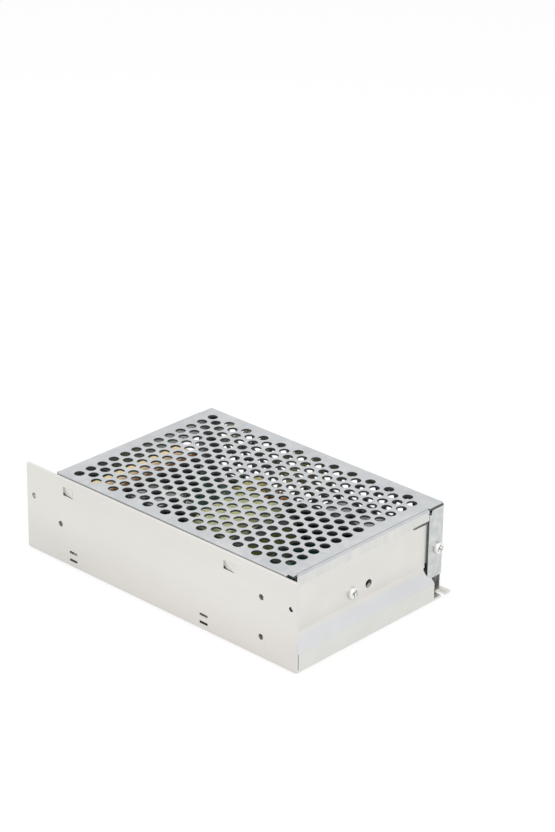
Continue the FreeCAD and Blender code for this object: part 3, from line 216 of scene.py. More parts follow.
def weld(item: Item) -> None:
    """Merge doubled points and turn all faces outwards."""
    with editing(item):
        bpy.ops.mesh.remove_doubles(threshold=WELD * MM)
        bpy.ops.mesh.normals_make_consistent(inside=False)


def block(name: str, low: Point, high: Point) -> Item:
    """Box between two corners of the case's millimetres."""
    bpy.ops.mesh.primitive_cube_add(size=1, location=(spot(*low) + spot(*high)) / 2)
    item = bpy.context.active_object
    item.name = name
    item.scale = (Vector(high) - Vector(low)) * MM
    settle(item)
    return item


def slab(name: str, side: float, low: float, high: float) -> Item:
    """Square box round the upright axis at the origin, between two heights."""
    x, y, _ = CORNER
    return block(name, (x - side / 2, y - side / 2, low), (x + side / 2, y + side / 2, high))


def turned(name: str, profile: Profile, sides: int = 32, hollow: bool = False) -> Item:
    """Body turned round the upright axis through the origin.

    Args:
        name: Name of the object.
        profile: Radii and heights in millimetres, from the first edge to the last.
        sides: Facets round the axis.
        hollow: Whether the profile closes on itself round a hole, and has no end faces.

    Returns:
        The turned body.
    """
    radius, height = profile[0]
    bpy.ops.mesh.primitive_circle_add(vertices=sides, radius=radius * MM, location=(0, 0, height * MM),
                                      fill_type="NOTHING" if hollow else "NGON")
    item = bpy.context.active_object
    item.name = name
    settle(item)
    with editing(item):
        for next_radius, next_height in profile[1:]:
            step = {"value": Vector((0, 0, next_height - height)) * MM}
            if hollow:
                bpy.ops.mesh.extrude_edges_move(TRANSFORM_OT_translate=step)
            else:
                bpy.ops.mesh.extrude_region_move(TRANSFORM_OT_translate=step)
            ratio = next_radius / radius
            bpy.ops.transform.resize(value=(ratio, ratio, 1))
            radius, height = (next_radius, next_height)
    weld(item)
    return item


def dome(radius: float, rim: float, rise: float, bulge: float, angles: Sequence[float]) -> Profile:
    """Points of a profile over a dome.

    Args:
        radius: Radius at the dome's rim in millimetres.
        rim: Height of its rim.
        rise: Height of the dome over its rim.
        bulge: 1 for a round dome, and less for a flatter one with full shoulders.
        angles: Where the points lie, in degrees over the rim.

    Returns:
        The points, from the rim up.
    """
    turns = [math.radians(angle) for angle in angles]
    return [(radius * math.cos(turn) ** bulge, rim + rise * math.sin(turn)) for turn in turns]


def stand(item: Item, place: Vector, facing: Point = (0, 0, 1), roll: float = 0.0) -> None:
    """Move an upright body from the origin to its place, facing a direction.

    Args:
        item: The body, made at the origin.
        place: Where its origin goes, in metres.
        facing: Where its top looks.
        roll: Turn round its own axis, in radians.
    """
    turn = Vector(facing).to_track_quat("Z", "Y").to_matrix() @ Matrix.Rotation(roll, 3, "Z")
    item.location = place
    item.rotation_euler = turn.to_euler()
    settle(item)


def twin(item: Item, name: str) -> Item:
    """Copy of an object with a mesh of its own."""
    made = item.copy()
    made.data = item.data.copy()
    made.name = name
    bpy.context.scene.collection.objects.link(made)
    return made


def even_out(item: Item) -> None:
    """Shade an object smooth over its eased edges, with its broad faces flat."""
    select_only(item)
    if item.data.has_custom_normals:
        bpy.ops.mesh.customdata_custom_splitnormals_clear()
    smooth(item)
    apply_modifier(item, "WEIGHTED_NORMAL", mode="FACE_AREA", weight=100, keep_sharp=True)


def ease(item: Item, width: float, segments: int = 2, degrees: float = 32.0) -> None:
    """Round the sharp edges of an object by a width in millimetres, and shade it smooth."""
    apply_modifier(item, "BEVEL", width=width * MM, segments=segments, limit_method="ANGLE",
                   angle_limit=math.radians(degrees), miter_outer="MITER_ARC")
    even_out(item)


def eased_copy(node: Item, name: str, width: float, segments: int = 2) -> Item:
    """Copy of a solid of the frame with eased edges.

    Args:
        node: The solid's object.
        name: Name of the copy.
        width: Width of the eased edges in millimetres.
        segments: Facets across an edge.

    Returns:
        The copy.
    """
    item = twin(node, name)
    item.data.materials.clear()
    item.parent = None
    settle(item)
    with editing(item):
        bpy.ops.mesh.remove_doubles(threshold=WELD / 4 * MM)
        bpy.ops.mesh.dissolve_limited(angle_limit=math.radians(0.4))
    ease(item, width, segments)
    return item


def subtract(item: Item, cutter: Item) -> None:
    """Cut one object out of another, and throw the cutter away."""
    apply_modifier(item, "BOOLEAN", operation="DIFFERENCE", object=cutter, solver="EXACT")
    bpy.data.objects.remove(cutter)


def cross_recess(item: Item, top: float, arm: float, breadth: float, depth: float) -> None:
    """Cut a slightly tapered cross into the top of an upright body at the origin.

    Args:
        item: The body.
        top: Height of its top in millimetres.
        arm: Length of the cross from tip to tip.
        breadth: Width of its arms.
        depth: How deep it goes.
    """
    bpy.ops.mesh.primitive_cube_add(size=1, location=(0, 0, (top + 0.5 - depth / 2) * MM))
    cutter = bpy.context.active_object
    cutter.scale = Vector((breadth, breadth, depth + 1)) * MM
    settle(cutter)
    reach = (arm - breadth) / 2 * MM
    taper, tiny = (0.9, 0.001)
    with editing(cutter):
        for side in ((1, 0), (-1, 0), (0, 1), (0, -1)):
            pick(cutter, Pick.FACES, lambda x, y, z: near(x * side[0] + y * side[1], breadth / 2, tiny), AXIS)
            step = Vector((*side, 0)) * reach
            bpy.ops.mesh.extrude_region_move(TRANSFORM_OT_translate={"value": step})
        pick(cutter, Pick.POINTS, lambda x, y, z: near(z, top - depth, tiny), AXIS)
        bpy.ops.transform.resize(value=(taper, taper, 1))
    subtract(item, cutter)


def dress_faces(item: Item, finish: "Finish", wanted: Place, origin: Point = CORNER) -> None:
    """Give a finish to the faces still in the first one whose corners all lie where they should.

    Args:
        item: The object, already in its first finish.
        finish: The finish of the chosen faces.
        wanted: Test of a corner's place in millimetres.
        origin: What the places are counted from, CORNER or AXIS.
    """
    item.data.materials.append(finish.material())
    index = len(item.data.materials) - 1
    points = item.data.vertices
    for face in item.data.polygons:
        if not face.material_index and all(wanted(*place_of(points[number].co, origin))
                                           for number in face.vertices):
            face.material_index = index


def hand_over(item: Item, slot: str, *nodes: str, body: str = Body.CASE.value) -> None:
    """Let a finished piece ride on its body and stand for the solids that it replaces.

    Args:
        item: The piece.
        slot: Material slot of the record; not used.
        nodes: Solids that it stands for.
        body: Body that carries it.
    """
    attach(item, body)
    if nodes:
        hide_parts(*nodes)
    log.info("%s is ready", item.name)


class Tree:
    """Node tree, with a short way to add a node and feed it."""

    def __init__(self, tree: bpy.types.NodeTree) -> None:
        """Take up an empty or a started tree."""
        self.tree = tree

    def feed(self, socket: Socket, value: object) -> None:
        """Link an input to an output, or set its plain value."""
        if isinstance(value, bpy.types.NodeSocket):
            self.tree.links.new(value, socket)
        else:
            socket.default_value = value

    def node(self, kind: str, output: str, inputs: dict[str | int, object], **settings: object) -> Socket:
        """Add a node.

        Args:
            kind: Its type, without the prefix that all share.
            output: Which of its outputs is wanted.
            inputs: Values or outputs for its inputs, by name or number.
            settings: Its properties by name.

        Returns:
            The wanted output.
        """
        made = self.tree.nodes.new("ShaderNode" + kind)
        for name, value in settings.items():
            setattr(made, name, value)
        for name, value in inputs.items():
            self.feed(made.inputs[name], value)
        return made.outputs[output]


class Surface(Tree):
    """Node tree of one material, with the patterns that the finishes use."""

    def __init__(self, name: str) -> None:
        """Start a material with its principled shader."""
        self.material = bpy.data.materials.new(name)
        self.material.use_nodes = True
        super().__init__(self.material.node_tree)
        self.shader = self.tree.nodes["Principled BSDF"]
        self.where = self.node("TexCoord", "Object", {})

    def stretched(self, stretch: Point) -> Socket:
        """Object coordinates, drawn together or out along each axis."""
        return self.node("Mapping", "Vector", {"Scale": stretch, "Vector": self.where})

    def noise(self, scale: float, stretch: Point = (1, 1, 1)) -> Socket:
        """Soft random pattern from 0 to 1, with so many blotches in a metre."""
        inputs = {"Scale": scale, "Detail": 3.0, "Vector": self.stretched(stretch)}
        return self.node("TexNoise", "Fac", inputs)

    def cells(self, scale: float, stretch: Point = (1, 1, 1)) -> Socket:
        """Pattern of crystal grains, each with a random shade of its own."""
        colour = self.node("TexVoronoi", "Color", {"Scale": scale, "Vector": self.stretched(stretch)})
        return self.node("SeparateColor", "Red", {"Color": colour})

    def ramp(self, value: Socket, stops: Sequence[tuple[float, Sequence[float]]]) -> Socket:
        """Colours spread over a value.

        Args:
            value: What runs from 0 to 1.
            stops: Places on the ramp with their colours.

        Returns:
            The colour.
        """
        colour = self.node("ValToRGB", "Color", {"Fac": value})
        elements = colour.node.color_ramp.elements
        while len(elements) < len(stops):
            elements.new(0.5)
        for element, (at, shade) in zip(elements, stops):
            element.position = at
            element.color = (*shade, 1.0)
        return colour

    def level(self, value: Socket, low: float, high: float) -> Socket:
        """Value drawn from 0 to 1 out to a range."""
        return self.node("MapRange", "Result", {"To Min": low, "To Max": high, "Value": value})

    def along(self, axis: str, low: float, high: float) -> Socket:
        """Share of the way from one place to another along an axis, in metres of the frame."""
        place = self.node("SeparateXYZ", axis, {"Vector": self.where})
        return self.node("MapRange", "Result", {"From Min": low, "From Max": high, "Value": place})

    def mixed(self, share: float | Socket, first: Socket, second: Socket, way: str = "MIX") -> Socket:
        """Two colours mixed or multiplied by a share."""
        return self.node("MixRGB", "Color", {"Fac": share, "Color1": first, "Color2": second}, blend_type=way)

    def relief(self, height: Socket, depth: float) -> Socket:
        """Normal of a value that stands up from the surface by a depth in metres."""
        return self.node("Bump", "Normal", {"Distance": depth, "Height": height})

    def fix(self, **values: object) -> None:
        """Feed the shader's own sockets, with _ for the space in their names."""
        for name, value in values.items():
            self.feed(self.shader.inputs[name.replace("_", " ")], value)


@dataclass(frozen=True)
class Drift:
    """Tones over a stretch of one axis of the frame, in metres."""

    axis: str
    low: float
    high: float
    stops: tuple[tuple[float, Point], ...]


@dataclass(frozen=True)
class Finish:
    """Finish of a surface: a mottled colour that may drift, an uneven gloss and a fine grain."""

    name: str
    colour: Point
    shade: Point
    rough: float = 0.45
    rough_spread: float = 0.08
    metal: float = 0.0
    mottle: float = 160.0
    stretch: Point = (1, 1, 1)
    grain: float = 2400.0
    grain_depth: float = 0.00001
    coat: float = 0.0
    clear: float = 0.0
    plastic_index: float = 1.49
    drifts: tuple[Drift, ...] = ()

    def tint(self, surface: Surface) -> Socket:
        """Colour of the finish all over the surface."""
        pattern = surface.noise(self.mottle, self.stretch)
        colour = surface.ramp(pattern, [(0.32, self.shade), (0.68, self.colour)])
        for drift in self.drifts:
            tone = surface.ramp(surface.along(drift.axis, drift.low, drift.high), drift.stops)
            colour = surface.mixed(1.0, colour, tone, "MULTIPLY")
        return colour

    def material(self) -> bpy.types.Material:
        """The finish as a material, made once."""
        if self.name in bpy.data.materials:
            return bpy.data.materials[self.name]
        surface = Surface(self.name)
        gloss = surface.level(surface.noise(self.mottle * 2.3, self.stretch), self.rough - self.rough_spread,
                              self.rough + self.rough_spread)
        grain = surface.relief(surface.noise(self.grain, self.stretch), self.grain_depth)
        surface.fix(Base_Color=self.tint(surface), Roughness=gloss, Normal=grain, Metallic=self.metal,
                    Coat_Weight=self.coat)
        if self.clear:
            surface.fix(Transmission_Weight=self.clear, IOR=self.plastic_index)
        return surface.material

    def cover(self, *items: Item) -> None:
        """Give objects this finish all over."""
        for item in items:
            item.data.materials.clear()
            item.data.materials.append(self.material())


@dataclass(frozen=True)
class Galvanised(Finish):
    """Zinc coated steel: large faint crystals with soft rolling streaks."""

    crystal: float = 330.0
    crystal_tone: float = 0.08

    def tint(self, surface: Surface) -> Socket:
        """Colour of the zinc, shifted a little from one crystal to the next."""
        dim = tuple(1 - self.crystal_tone * share for share in (1.3, 1.0, 0.8))
        tone = surface.ramp(surface.cells(self.crystal, (1, 0.8, 1)), [(0.0, dim), (1.0, (1.0, 1.0, 1.0))])
        return surface.mixed(1.0, super().tint(surface), tone, "MULTIPLY")


@dataclass(frozen=True)
class Laminate(Finish):
    """Circuit board: green lacquer over copper runs, a little lighter where the copper lies."""

    run: Point = (0.004, 0.10, 0.05)
    runs: float = 95.0

    def tint(self, surface: Surface) -> Socket:
        """Dark ground with lighter runs of copper under the lacquer."""
        grains = surface.cells(self.runs, (1.0, 1.6, 1.0))
        runs = surface.ramp(grains, [(0.55, (0, 0, 0)), (0.56, (1, 1, 1))])
        copper = surface.ramp(surface.noise(300), [(0.3, self.run), (0.7, self.run)])
        return surface.mixed(runs, super().tint(surface), copper)


# Its drifts are painted shade: darker towards the floor, and a little at the top and at the terminal end.
ALUMINIUM = Finish(
    "satin_aluminium", (0.785, 0.77, 0.735), (0.755, 0.74, 0.705), rough=0.4, rough_spread=0.05, metal=1.0,
    mottle=60, stretch=(0.25, 1, 1), grain=5200, grain_depth=0.000004, drifts=(
        Drift("X", -0.08, 0.08, ((0.0, (0.99, 1.0, 0.995)), (0.4, (1.0, 1.0, 1.0)), (1.0, (1.0, 1.0, 1.0)))),
        Drift("Z", 0.0, 0.042, ((0.0, (0.90, 0.885, 0.89)), (0.3, (0.955, 0.945, 0.945)),
                                (0.5, (1.0, 1.0, 1.0)), (1.0, (0.985, 0.985, 0.985))))))
# Rear slope: the bluish band across it, about 9.6 to 12.4 mm up, is a painted reflection.
SLOPE_REFLECTION_SHEET = Finish(
    "slope_aluminium_painted_reflection", (0.765, 0.75, 0.72), (0.735, 0.72, 0.69), rough=0.42, metal=1.0, mottle=60, grain=5200,
    grain_depth=0.000004, drifts=(
        Drift("Z", 0.0, 0.0155, ((0.0, (0.985, 1.0, 1.0)), (0.5, (0.985, 1.0, 1.0)),
                                 (0.62, (0.89, 0.925, 0.985)), (0.8, (0.90, 0.925, 0.975)),
                                 (1.0, (0.99, 0.99, 0.985)))),))
# Painted shade on the lower front corner of the pressed-in tabs.
TAB_SHADE = Finish("tab_painted_shade", (0.70, 0.69, 0.66), (0.61, 0.60, 0.575), metal=1.0, mottle=420)
ZINC = Galvanised("spangled_zinc", (0.645, 0.655, 0.66), (0.575, 0.585, 0.595), rough=0.36, rough_spread=0.07,
                  metal=1.0, mottle=45, stretch=(1, 0.3, 1), grain=3600, grain_depth=0.000004)
# A lighter copy of the spangled zinc for the rear tab of the same sheet, set to how it is lit: painted light;
# its spangle is drawn stronger.
LIT_TAB_ZINC = Galvanised("lit_tab_zinc", (0.73, 0.73, 0.715), (0.62, 0.625, 0.61), rough=0.36, metal=1.0, mottle=300,
                      grain=3600, grain_depth=0.000004, crystal=420.0, crystal_tone=0.12)
# Lips of the same sheet: their lighter, warmer tone is a painted reflection, with upright streaks drawn in its
# mottle.
LIP_ZINC_REFLECTION = Finish("lip_zinc_painted_reflection", (0.735, 0.735, 0.715), (0.675, 0.68, 0.66), rough=0.3, rough_spread=0.1,
                  metal=1.0, mottle=260, stretch=(1, 1, 0.12), grain=3600, grain_depth=0.000004)
# Near-black: the sheet's cut edges and hole walls, darker as bare cut steel and with painted shade; also
# painted shade on the near bend and inside cross recesses.
CUT_EDGE_SHADE = Finish("cut_steel_edge_and_painted_shade", (0.13, 0.14, 0.145), (0.08, 0.085, 0.09), rough=0.5, metal=0.6, mottle=900)
BEND_SHADE = Finish("bend_shade", (0.40, 0.41, 0.41), (0.34, 0.35, 0.35), rough=0.42, metal=1.0, mottle=300)
DEEP_SHADE = Finish("deep_shade", (0.02, 0.022, 0.022), (0.012, 0.013, 0.013), rough=0.7, mottle=900)
NICKEL = Finish("plated_steel", (0.58, 0.575, 0.55), (0.44, 0.43, 0.405), rough=0.36, metal=1.0, mottle=500)
STRAW_ZINC = Finish("straw_plating", (0.82, 0.72, 0.47), (0.66, 0.55, 0.33), rough=0.33, metal=1.0, mottle=520)
TIN = Finish("tinned_brass", (0.84, 0.83, 0.80), (0.74, 0.72, 0.68), rough=0.25, metal=1.0, mottle=420)
RECESS = Finish("recess_shade", (0.30, 0.27, 0.20), (0.20, 0.18, 0.13), rough=0.4, metal=1.0, mottle=700)
BOARD = Laminate("green_laminate", (0.002, 0.062, 0.03), (0.0015, 0.044, 0.022), rough=0.32, coat=0.4,
                 mottle=90)
BOARD_EDGE = Finish("laminate_edge", (0.10, 0.42, 0.24), (0.07, 0.34, 0.19), rough=0.5, mottle=600,
                    stretch=(1, 1, 6))
SILK = Finish("white_ink", (0.72, 0.74, 0.72), (0.62, 0.64, 0.62), rough=0.6, mottle=900)
FILM = Finish("grey_film", (0.30, 0.32, 0.31), (0.25, 0.27, 0.26), rough=0.5, mottle=70)
BLACK = Finish("black_moulding", (0.028, 0.026, 0.025), (0.018, 0.017, 0.017), rough=0.46, mottle=210,
               grain_depth=0.00002)
# The drift along the flap is painted light: a pale band across its middle is a painted highlight, and its front
# edge and the part under the cover are darker with painted shade.
AMBER = Finish(
    "amber_flap", (0.98, 0.82, 0.46), (0.94, 0.76, 0.40), rough=0.22, coat=1.0, clear=0.25, mottle=70,
    drifts=(Drift("X", -0.073, -0.0595, ((0.0, (0.66, 0.27, 0.10)), (0.12, (0.78, 0.42, 0.20)),
                                         (0.3, (0.95, 0.9, 0.8)), (0.5, (1.0, 1.0, 1.0)),
                                         (0.74, (0.55, 0.30, 0.16)))),))
BLUE = Finish("blue_moulding", (0.006, 0.13, 0.42), (0.004, 0.10, 0.34), rough=0.34, mottle=380)
WHITE = Finish("white_moulding", (0.86, 0.85, 0.82), (0.80, 0.79, 0.76), rough=0.4, mottle=420)
GREEN_LENS = Finish("green_lens", (0.10, 0.55, 0.12), (0.07, 0.44, 0.09), rough=0.12, clear=0.6, mottle=300)
FERRITE = Finish("ferrite", (0.035, 0.035, 0.037), (0.022, 0.022, 0.024), rough=0.7, mottle=700,
                 grain_depth=0.00004)
CORE_YELLOW = Finish("core_yellow", (0.76, 0.66, 0.16), (0.66, 0.56, 0.12), coat=0.2, mottle=260)
COPPER = Finish("enamelled_copper", (0.60, 0.33, 0.10), (0.42, 0.20, 0.055), rough=0.28, metal=0.9, coat=0.6,
                mottle=900)
TAPE = Finish("yellow_tape", (0.98, 0.99, 0.26), (0.92, 0.94, 0.21), rough=0.34, coat=0.1, mottle=120,
              stretch=(1, 1, 4))
# The core's tape band: the yellow tape darkened to olive, painted shade.
TAPE_SHADE = Finish("tape_painted_shade", (0.34, 0.37, 0.10), (0.27, 0.30, 0.08), rough=0.35, coat=0.3, mottle=120)
SLEEVE = Finish("black_sleeve", (0.045, 0.05, 0.065), (0.03, 0.034, 0.045), rough=0.28, coat=0.4, mottle=130)
GREY_CAN = Finish("grey_sleeve", (0.20, 0.19, 0.24), (0.15, 0.145, 0.18), rough=0.35, coat=0.3, mottle=200)
CAN_TOP = Finish("can_aluminium", (0.80, 0.80, 0.79), (0.70, 0.70, 0.69), rough=0.3, metal=1.0, mottle=400)
YELLOW_CASE = Finish("yellow_case", (0.80, 0.62, 0.10), (0.74, 0.55, 0.08), rough=0.42, mottle=220)
NAVY = Finish("navy_case", (0.012, 0.03, 0.14), (0.009, 0.022, 0.10), rough=0.35, coat=0.3, mottle=300)
BLUE_DISC = Finish("blue_lacquer", (0.02, 0.17, 0.46), (0.015, 0.13, 0.37), rough=0.25, coat=0.5, mottle=260)
GREEN_DISC = Finish("green_lacquer", (0.03, 0.20, 0.09), (0.02, 0.15, 0.06), rough=0.3, coat=0.4, mottle=260)
GLASS = Finish("fuse_glass", (0.82, 0.86, 0.84), (0.76, 0.80, 0.78), rough=0.08, clear=0.85, mottle=200)
EPOXY = Finish("black_epoxy", (0.03, 0.03, 0.032), (0.02, 0.02, 0.021), rough=0.55, mottle=900,
               grain_depth=0.00003)
PAD = Finish("grey_silicone", (0.42, 0.43, 0.44), (0.36, 0.37, 0.38), rough=0.7, mottle=500)
RESISTOR = Finish("tan_resistor", (0.52, 0.36, 0.18), (0.44, 0.29, 0.14), rough=0.4, coat=0.3, mottle=600)
BAND = Finish("dark_band", (0.06, 0.03, 0.025), (0.04, 0.02, 0.018), rough=0.4, mottle=500)

CARRIED_FINISHES: dict[str, Finish] = {"insulating_sheet": FILM, "transformer_pins": TIN, "transistor_pad": PAD}


@dataclass
class PerforatedCover:
    """Cover folded from one perforated sheet: top, far wall, lips, near flange, column, foot and tab."""

    front: float = 16.3
    rear: float = 155.0
    near_face: float = 1.8
    gauge: float = 0.9
    bend: float = 1.3
    hole_radius: float = 2.35
    hole_pitch: float = 6.84
    hole_inset: float = 0.3
    row_pitch: float = 5.26
    first_row: float = 25.16
    first_hole: float = 7.96
    wall_first: float = 4.3
    row_pairs: int = 12
    top_holes: int = 13
    wall_holes: int = 5
    steps_along: int = 4
    steps_across: int = 6
    rear_strip: float = 1.4
    flange_short: float = 1.9
    lip_depth: float = 12.0
    lip_end: float = 89.9
    column_near: float = 90.2
    column_steps: int = 27
    rear_lip: tuple[float, float] = (5.3, 87.4)
    rear_lip_depth: float = 5.5
    tab_near: float = 88.0
    tab_foot: float = 8.0
    tab_chamfer: float = 1.6
    flange_low: float = 32.0
    wall_foot: float = 1.5
    foot_top: float = 9.5
    foot_front: float = 0.6
    foot_bend: float = 0.7
    windows: tuple[float, ...] = (26.2, 122.3)
    window_low: float = 33.0
    window_high: float = 38.4
    window_half: float = 4.9

    def cell(self) -> Item:
        """One field of the sheet with its round hole, flat at the origin."""
        bpy.ops.mesh.primitive_grid_add(x_subdivisions=self.steps_along, y_subdivisions=self.steps_across,
                                        size=1)
        item = bpy.context.active_object
        item.scale = Vector((self.row_pitch, self.hole_pitch, 1)) * MM
        settle(item)
        with editing(item):
            bpy.ops.mesh.inset(thickness=self.hole_inset * MM)
            bpy.ops.mesh.delete(type="FACE")
            pick(item, Pick.POINTS, lambda x, y, z: abs(x) < self.row_pitch / 2 - WELD
                 and abs(y) < self.hole_pitch / 2 - WELD, AXIS)
            bpy.ops.transform.tosphere(value=1.0)
            mesh = bmesh.from_edit_mesh(item.data)
            reaches = [point.co.length for point in mesh.verts if point.select]
            ratio = self.hole_radius * MM * len(reaches) / sum(reaches)
            bpy.ops.transform.resize(value=(ratio, ratio, 1))
        return item

    def row(self, name: str, along: float, first: float, count: int, before: Sequence[float],
            after: Sequence[float]) -> Item:
        """Rows of holes across a panel, every second row of it.

        Args:
            name: Name of the strips.
            along: Place of the first row along the case.
            first: Distance of its first hole from the panel's edge.
            count: Holes in the row.
            before: Plain steps of sheet before the first field.
            after: Plain steps of sheet after the last field.

        Returns:
            The flat strips, with the panel's edge on the x axis.
        """
        item = self.cell()
        item.name = name
        item.location = Vector((along - CASE_LENGTH / 2, first, 0)) * MM
        settle(item)
        repeat(item, count, (0, self.hole_pitch, 0))
        low = first - self.hole_pitch / 2
        high = first + (count - 0.5) * self.hole_pitch
        with editing(item):
            for edge, steps, sign in ((low, before, -1), (high, after, 1)):
                pick(item, Pick.EDGES, lambda x, y, z: near(y, edge, WELD), AXIS)
                for step in steps:
                    draw_out(0, sign * step, 0)
        repeat(item, self.row_pairs, (self.row_pitch * 2, 0, 0))
        return item

    def panels(self) -> tuple[Item, Item]:
        """Perforated top and far wall, flat and in place, without their margins at the ends."""
        pitch, half = (self.hole_pitch, self.hole_pitch / 2)
        low = self.first_hole - half - self.near_face - self.bend
        high = CASE_WIDTH - self.bend - (self.first_hole + (self.top_holes - 0.5) * pitch)
        steps = [pitch / self.steps_across] * (self.steps_across // 2)
        first, second = (self.first_row, self.first_row + self.row_pitch)
        full = self.row("full_rows", first, self.first_hole, self.top_holes, [low], [high])
        short = self.row("short_rows", second, self.first_hole + half, self.top_holes - 1, steps + [low],
                         steps + [high])
        top = join("cover_top", [full, short])
        top.location = Vector((0, -CASE_WIDTH / 2, CASE_TOP)) * MM
        settle(top)
        drop = CASE_TOP - self.wall_foot - (self.wall_first + (self.wall_holes - 0.5) * pitch)
        full = self.row("full_wall_rows", first, self.wall_first, self.wall_holes, [], [drop])
        short = self.row("short_wall_rows", second, self.wall_first + half, self.wall_holes - 1, steps,
                         steps + [drop])
        wall = join("cover_wall", [full, short])
        with editing(wall):
            pick(wall, Pick.POINTS, lambda x, y, z: near(y, self.wall_first - half), AXIS)
            shift(0, self.bend - (self.wall_first - half), 0)
        wall.location = Vector((0, CASE_WIDTH / 2, CASE_TOP)) * MM
        wall.rotation_euler = Euler((-QUARTER, 0, 0))
        settle(wall)
        return top, wall

    def margins(self, sheet: Item) -> None:
        """Plain sheet from the outer rows to the bends at the front and the rear."""
        low = self.first_row - self.row_pitch / 2
        high = self.first_row + (self.row_pairs * 2 - 0.5) * self.row_pitch
        with editing(sheet):
            pick(sheet, Pick.EDGES, lambda x, y, z: near(x, low))
            draw_out(self.front + self.bend - low, 0, 0)
            pick(sheet, Pick.EDGES, lambda x, y, z: near(x, high))
            draw_out(self.rear - self.bend - high - self.rear_strip, 0, 0)
            draw_out(self.rear_strip, 0, 0)

    @staticmethod
    def line(x: float | None, y: float | None, low: float, high: float) -> Place:
        """Test for an edge of the top along a line.

        Args:
            x: Place of a line across the case, or None.
            y: Place of a line along the case, or None.
            low: Start of the wanted stretch of the line.
            high: End of that stretch.

        Returns:
            The test.
        """
        reach = 0.7

        def wanted(px: float, py: float, pz: float) -> bool:
            """Whether a corner lies on the stretch."""
            off, along = (px - x, py) if x is not None else (py - y, px)
            return near(pz, CASE_TOP) and near(off, 0) and low - reach < along < high + reach
        return wanted

    def fold_flanges(self, sheet: Item) -> None:
        """Fold down the far edge, the lips and the near flange from the top."""
        top, bend = (CASE_TOP, self.bend)
        low = top - bend
        front, rear = (self.front + bend, self.rear - bend)
        near_line, far_line = (self.near_face + bend, CASE_WIDTH - bend)
        with editing(sheet):
            pick(sheet, Pick.EDGES, self.line(None, far_line, front, rear))
            fold(spot(80, far_line, low), (1, 0, 0))
            pick(sheet, Pick.EDGES, self.line(None, near_line, front, rear - self.flange_short))
            fold(spot(80, near_line, low), (-1, 0, 0))
            draw_out(0, 0, self.window_high - low)
            draw_out(0, 0, self.window_low - self.window_high)
            draw_out(0, 0, self.flange_low - self.window_low)
            pick(sheet, Pick.EDGES, self.line(front, None, near_line, self.lip_end))
            fold(spot(front, 49, low), (0, 1, 0))
            draw_out(0, 0, top - self.lip_depth - low)
            pick(sheet, Pick.EDGES, self.line(rear, None, *self.rear_lip))
            fold(spot(rear, 49, low), (0, -1, 0))
            draw_out(0, 0, top - self.rear_lip_depth - low)
            for start, end in ((near_line, self.rear_lip[0]), (self.rear_lip[1] + 1.0, far_line)):
                pick(sheet, Pick.EDGES, self.line(rear, None, start, end))
                draw_out(bend, 0, 0)
            for middle in self.windows:
                pick(sheet, Pick.FACES, lambda x, y, z: near(y, self.near_face)
                     and self.window_low - 0.1 < z < self.window_high + 0.1
                     and abs(x - middle) < self.window_half)
                bpy.ops.mesh.delete(type="FACE")

    def upright(self, end: float, low: float) -> Place:
        """Test for the far wall's upright edge at an end, above a height."""
        high = CASE_TOP - self.bend + 0.1
        return lambda x, y, z: near(x, end) and near(y, CASE_WIDTH) and low - 0.1 < z < high

    def fold_ends(self, sheet: Item) -> None:
        """Fold the front column with its foot and the rear tab from the far wall."""
        front, rear = (self.front + self.bend, self.rear - self.bend)
        turn = CASE_WIDTH - self.bend
        unit = self.hole_pitch / self.steps_across
        column_low = CASE_TOP - self.wall_first + self.hole_pitch / 2 - unit * self.column_steps
        bend_at = self.foot_top + self.foot_bend
        with editing(sheet):
            pick(sheet, Pick.EDGES, self.upright(front, self.foot_top + unit / 2))
            fold(spot(front, turn, 20), (0, 0, -1))
            draw_out(0, self.column_near - turn, 0)
            pick(sheet, Pick.EDGES, lambda x, y, z: near(x, self.front) and near(z, column_low)
                 and y < turn + 0.1)
            draw_out(0, 0, bend_at - column_low)
            fold(spot(self.front - self.foot_bend, 94, bend_at), (0, -1, 0))
            draw_out(self.foot_front - self.front + self.foot_bend, 0, 0)
            pick(sheet, Pick.EDGES, self.upright(rear, self.tab_foot))
            fold(spot(rear, turn, 20), (0, 0, 1))
            draw_out(0, self.tab_near + self.tab_chamfer - turn, 0)
            draw_out(0, -self.tab_chamfer, 0)
            pick(sheet, Pick.POINTS, lambda x, y, z: near(x, self.rear) and near(y, self.tab_near)
                 and near(z, CASE_TOP - self.bend))
            shift(0, 0, -self.tab_chamfer)

    def dress(self, sheet: Item) -> None:
        """Paint light on the tab, a reflection on the lips, and shade on the outer edges of the bends."""
        low = CASE_TOP - self.gauge
        rear = self.rear - 1.0
        # Painted light: a lighter zinc tone on the rear tab, and a painted reflection on the lips.
        dress_faces(sheet, LIT_TAB_ZINC, lambda x, y, z: x > rear and y > self.tab_near - 0.1 and z < low)
        dress_faces(sheet, LIP_ZINC_REFLECTION, lambda x, y, z: x > rear and y < self.tab_near and z < low)
        dress_faces(sheet, LIP_ZINC_REFLECTION, lambda x, y, z: x < self.front + 1.0 and y < self.lip_end + 0.05
                    and z < low)
        # Painted shade along the near bend: darkest on its lower facets, lighter above.
        for finish, width in ((CUT_EDGE_SHADE, 0.3), (BEND_SHADE, 0.6)):
            dress_faces(sheet, finish, lambda x, y, z: y < self.near_face + width
                        and CASE_TOP - 1.4 < z < CASE_TOP - 0.03)
        dress_faces(sheet, BEND_SHADE, lambda x, y, z: self.rear - 0.95 < x < self.rear - 0.48
                    and self.rear_lip[0] < y < self.tab_near and z > CASE_TOP - 0.3)

    def build(self) -> None:
        """Make the folded sheet, give it its gauge and dress it in zinc."""
        sheet = join("folded_cover", self.panels())
        self.margins(sheet)
        self.fold_flanges(sheet)
        self.fold_ends(sheet)
        weld(sheet)
        ZINC.cover(sheet)
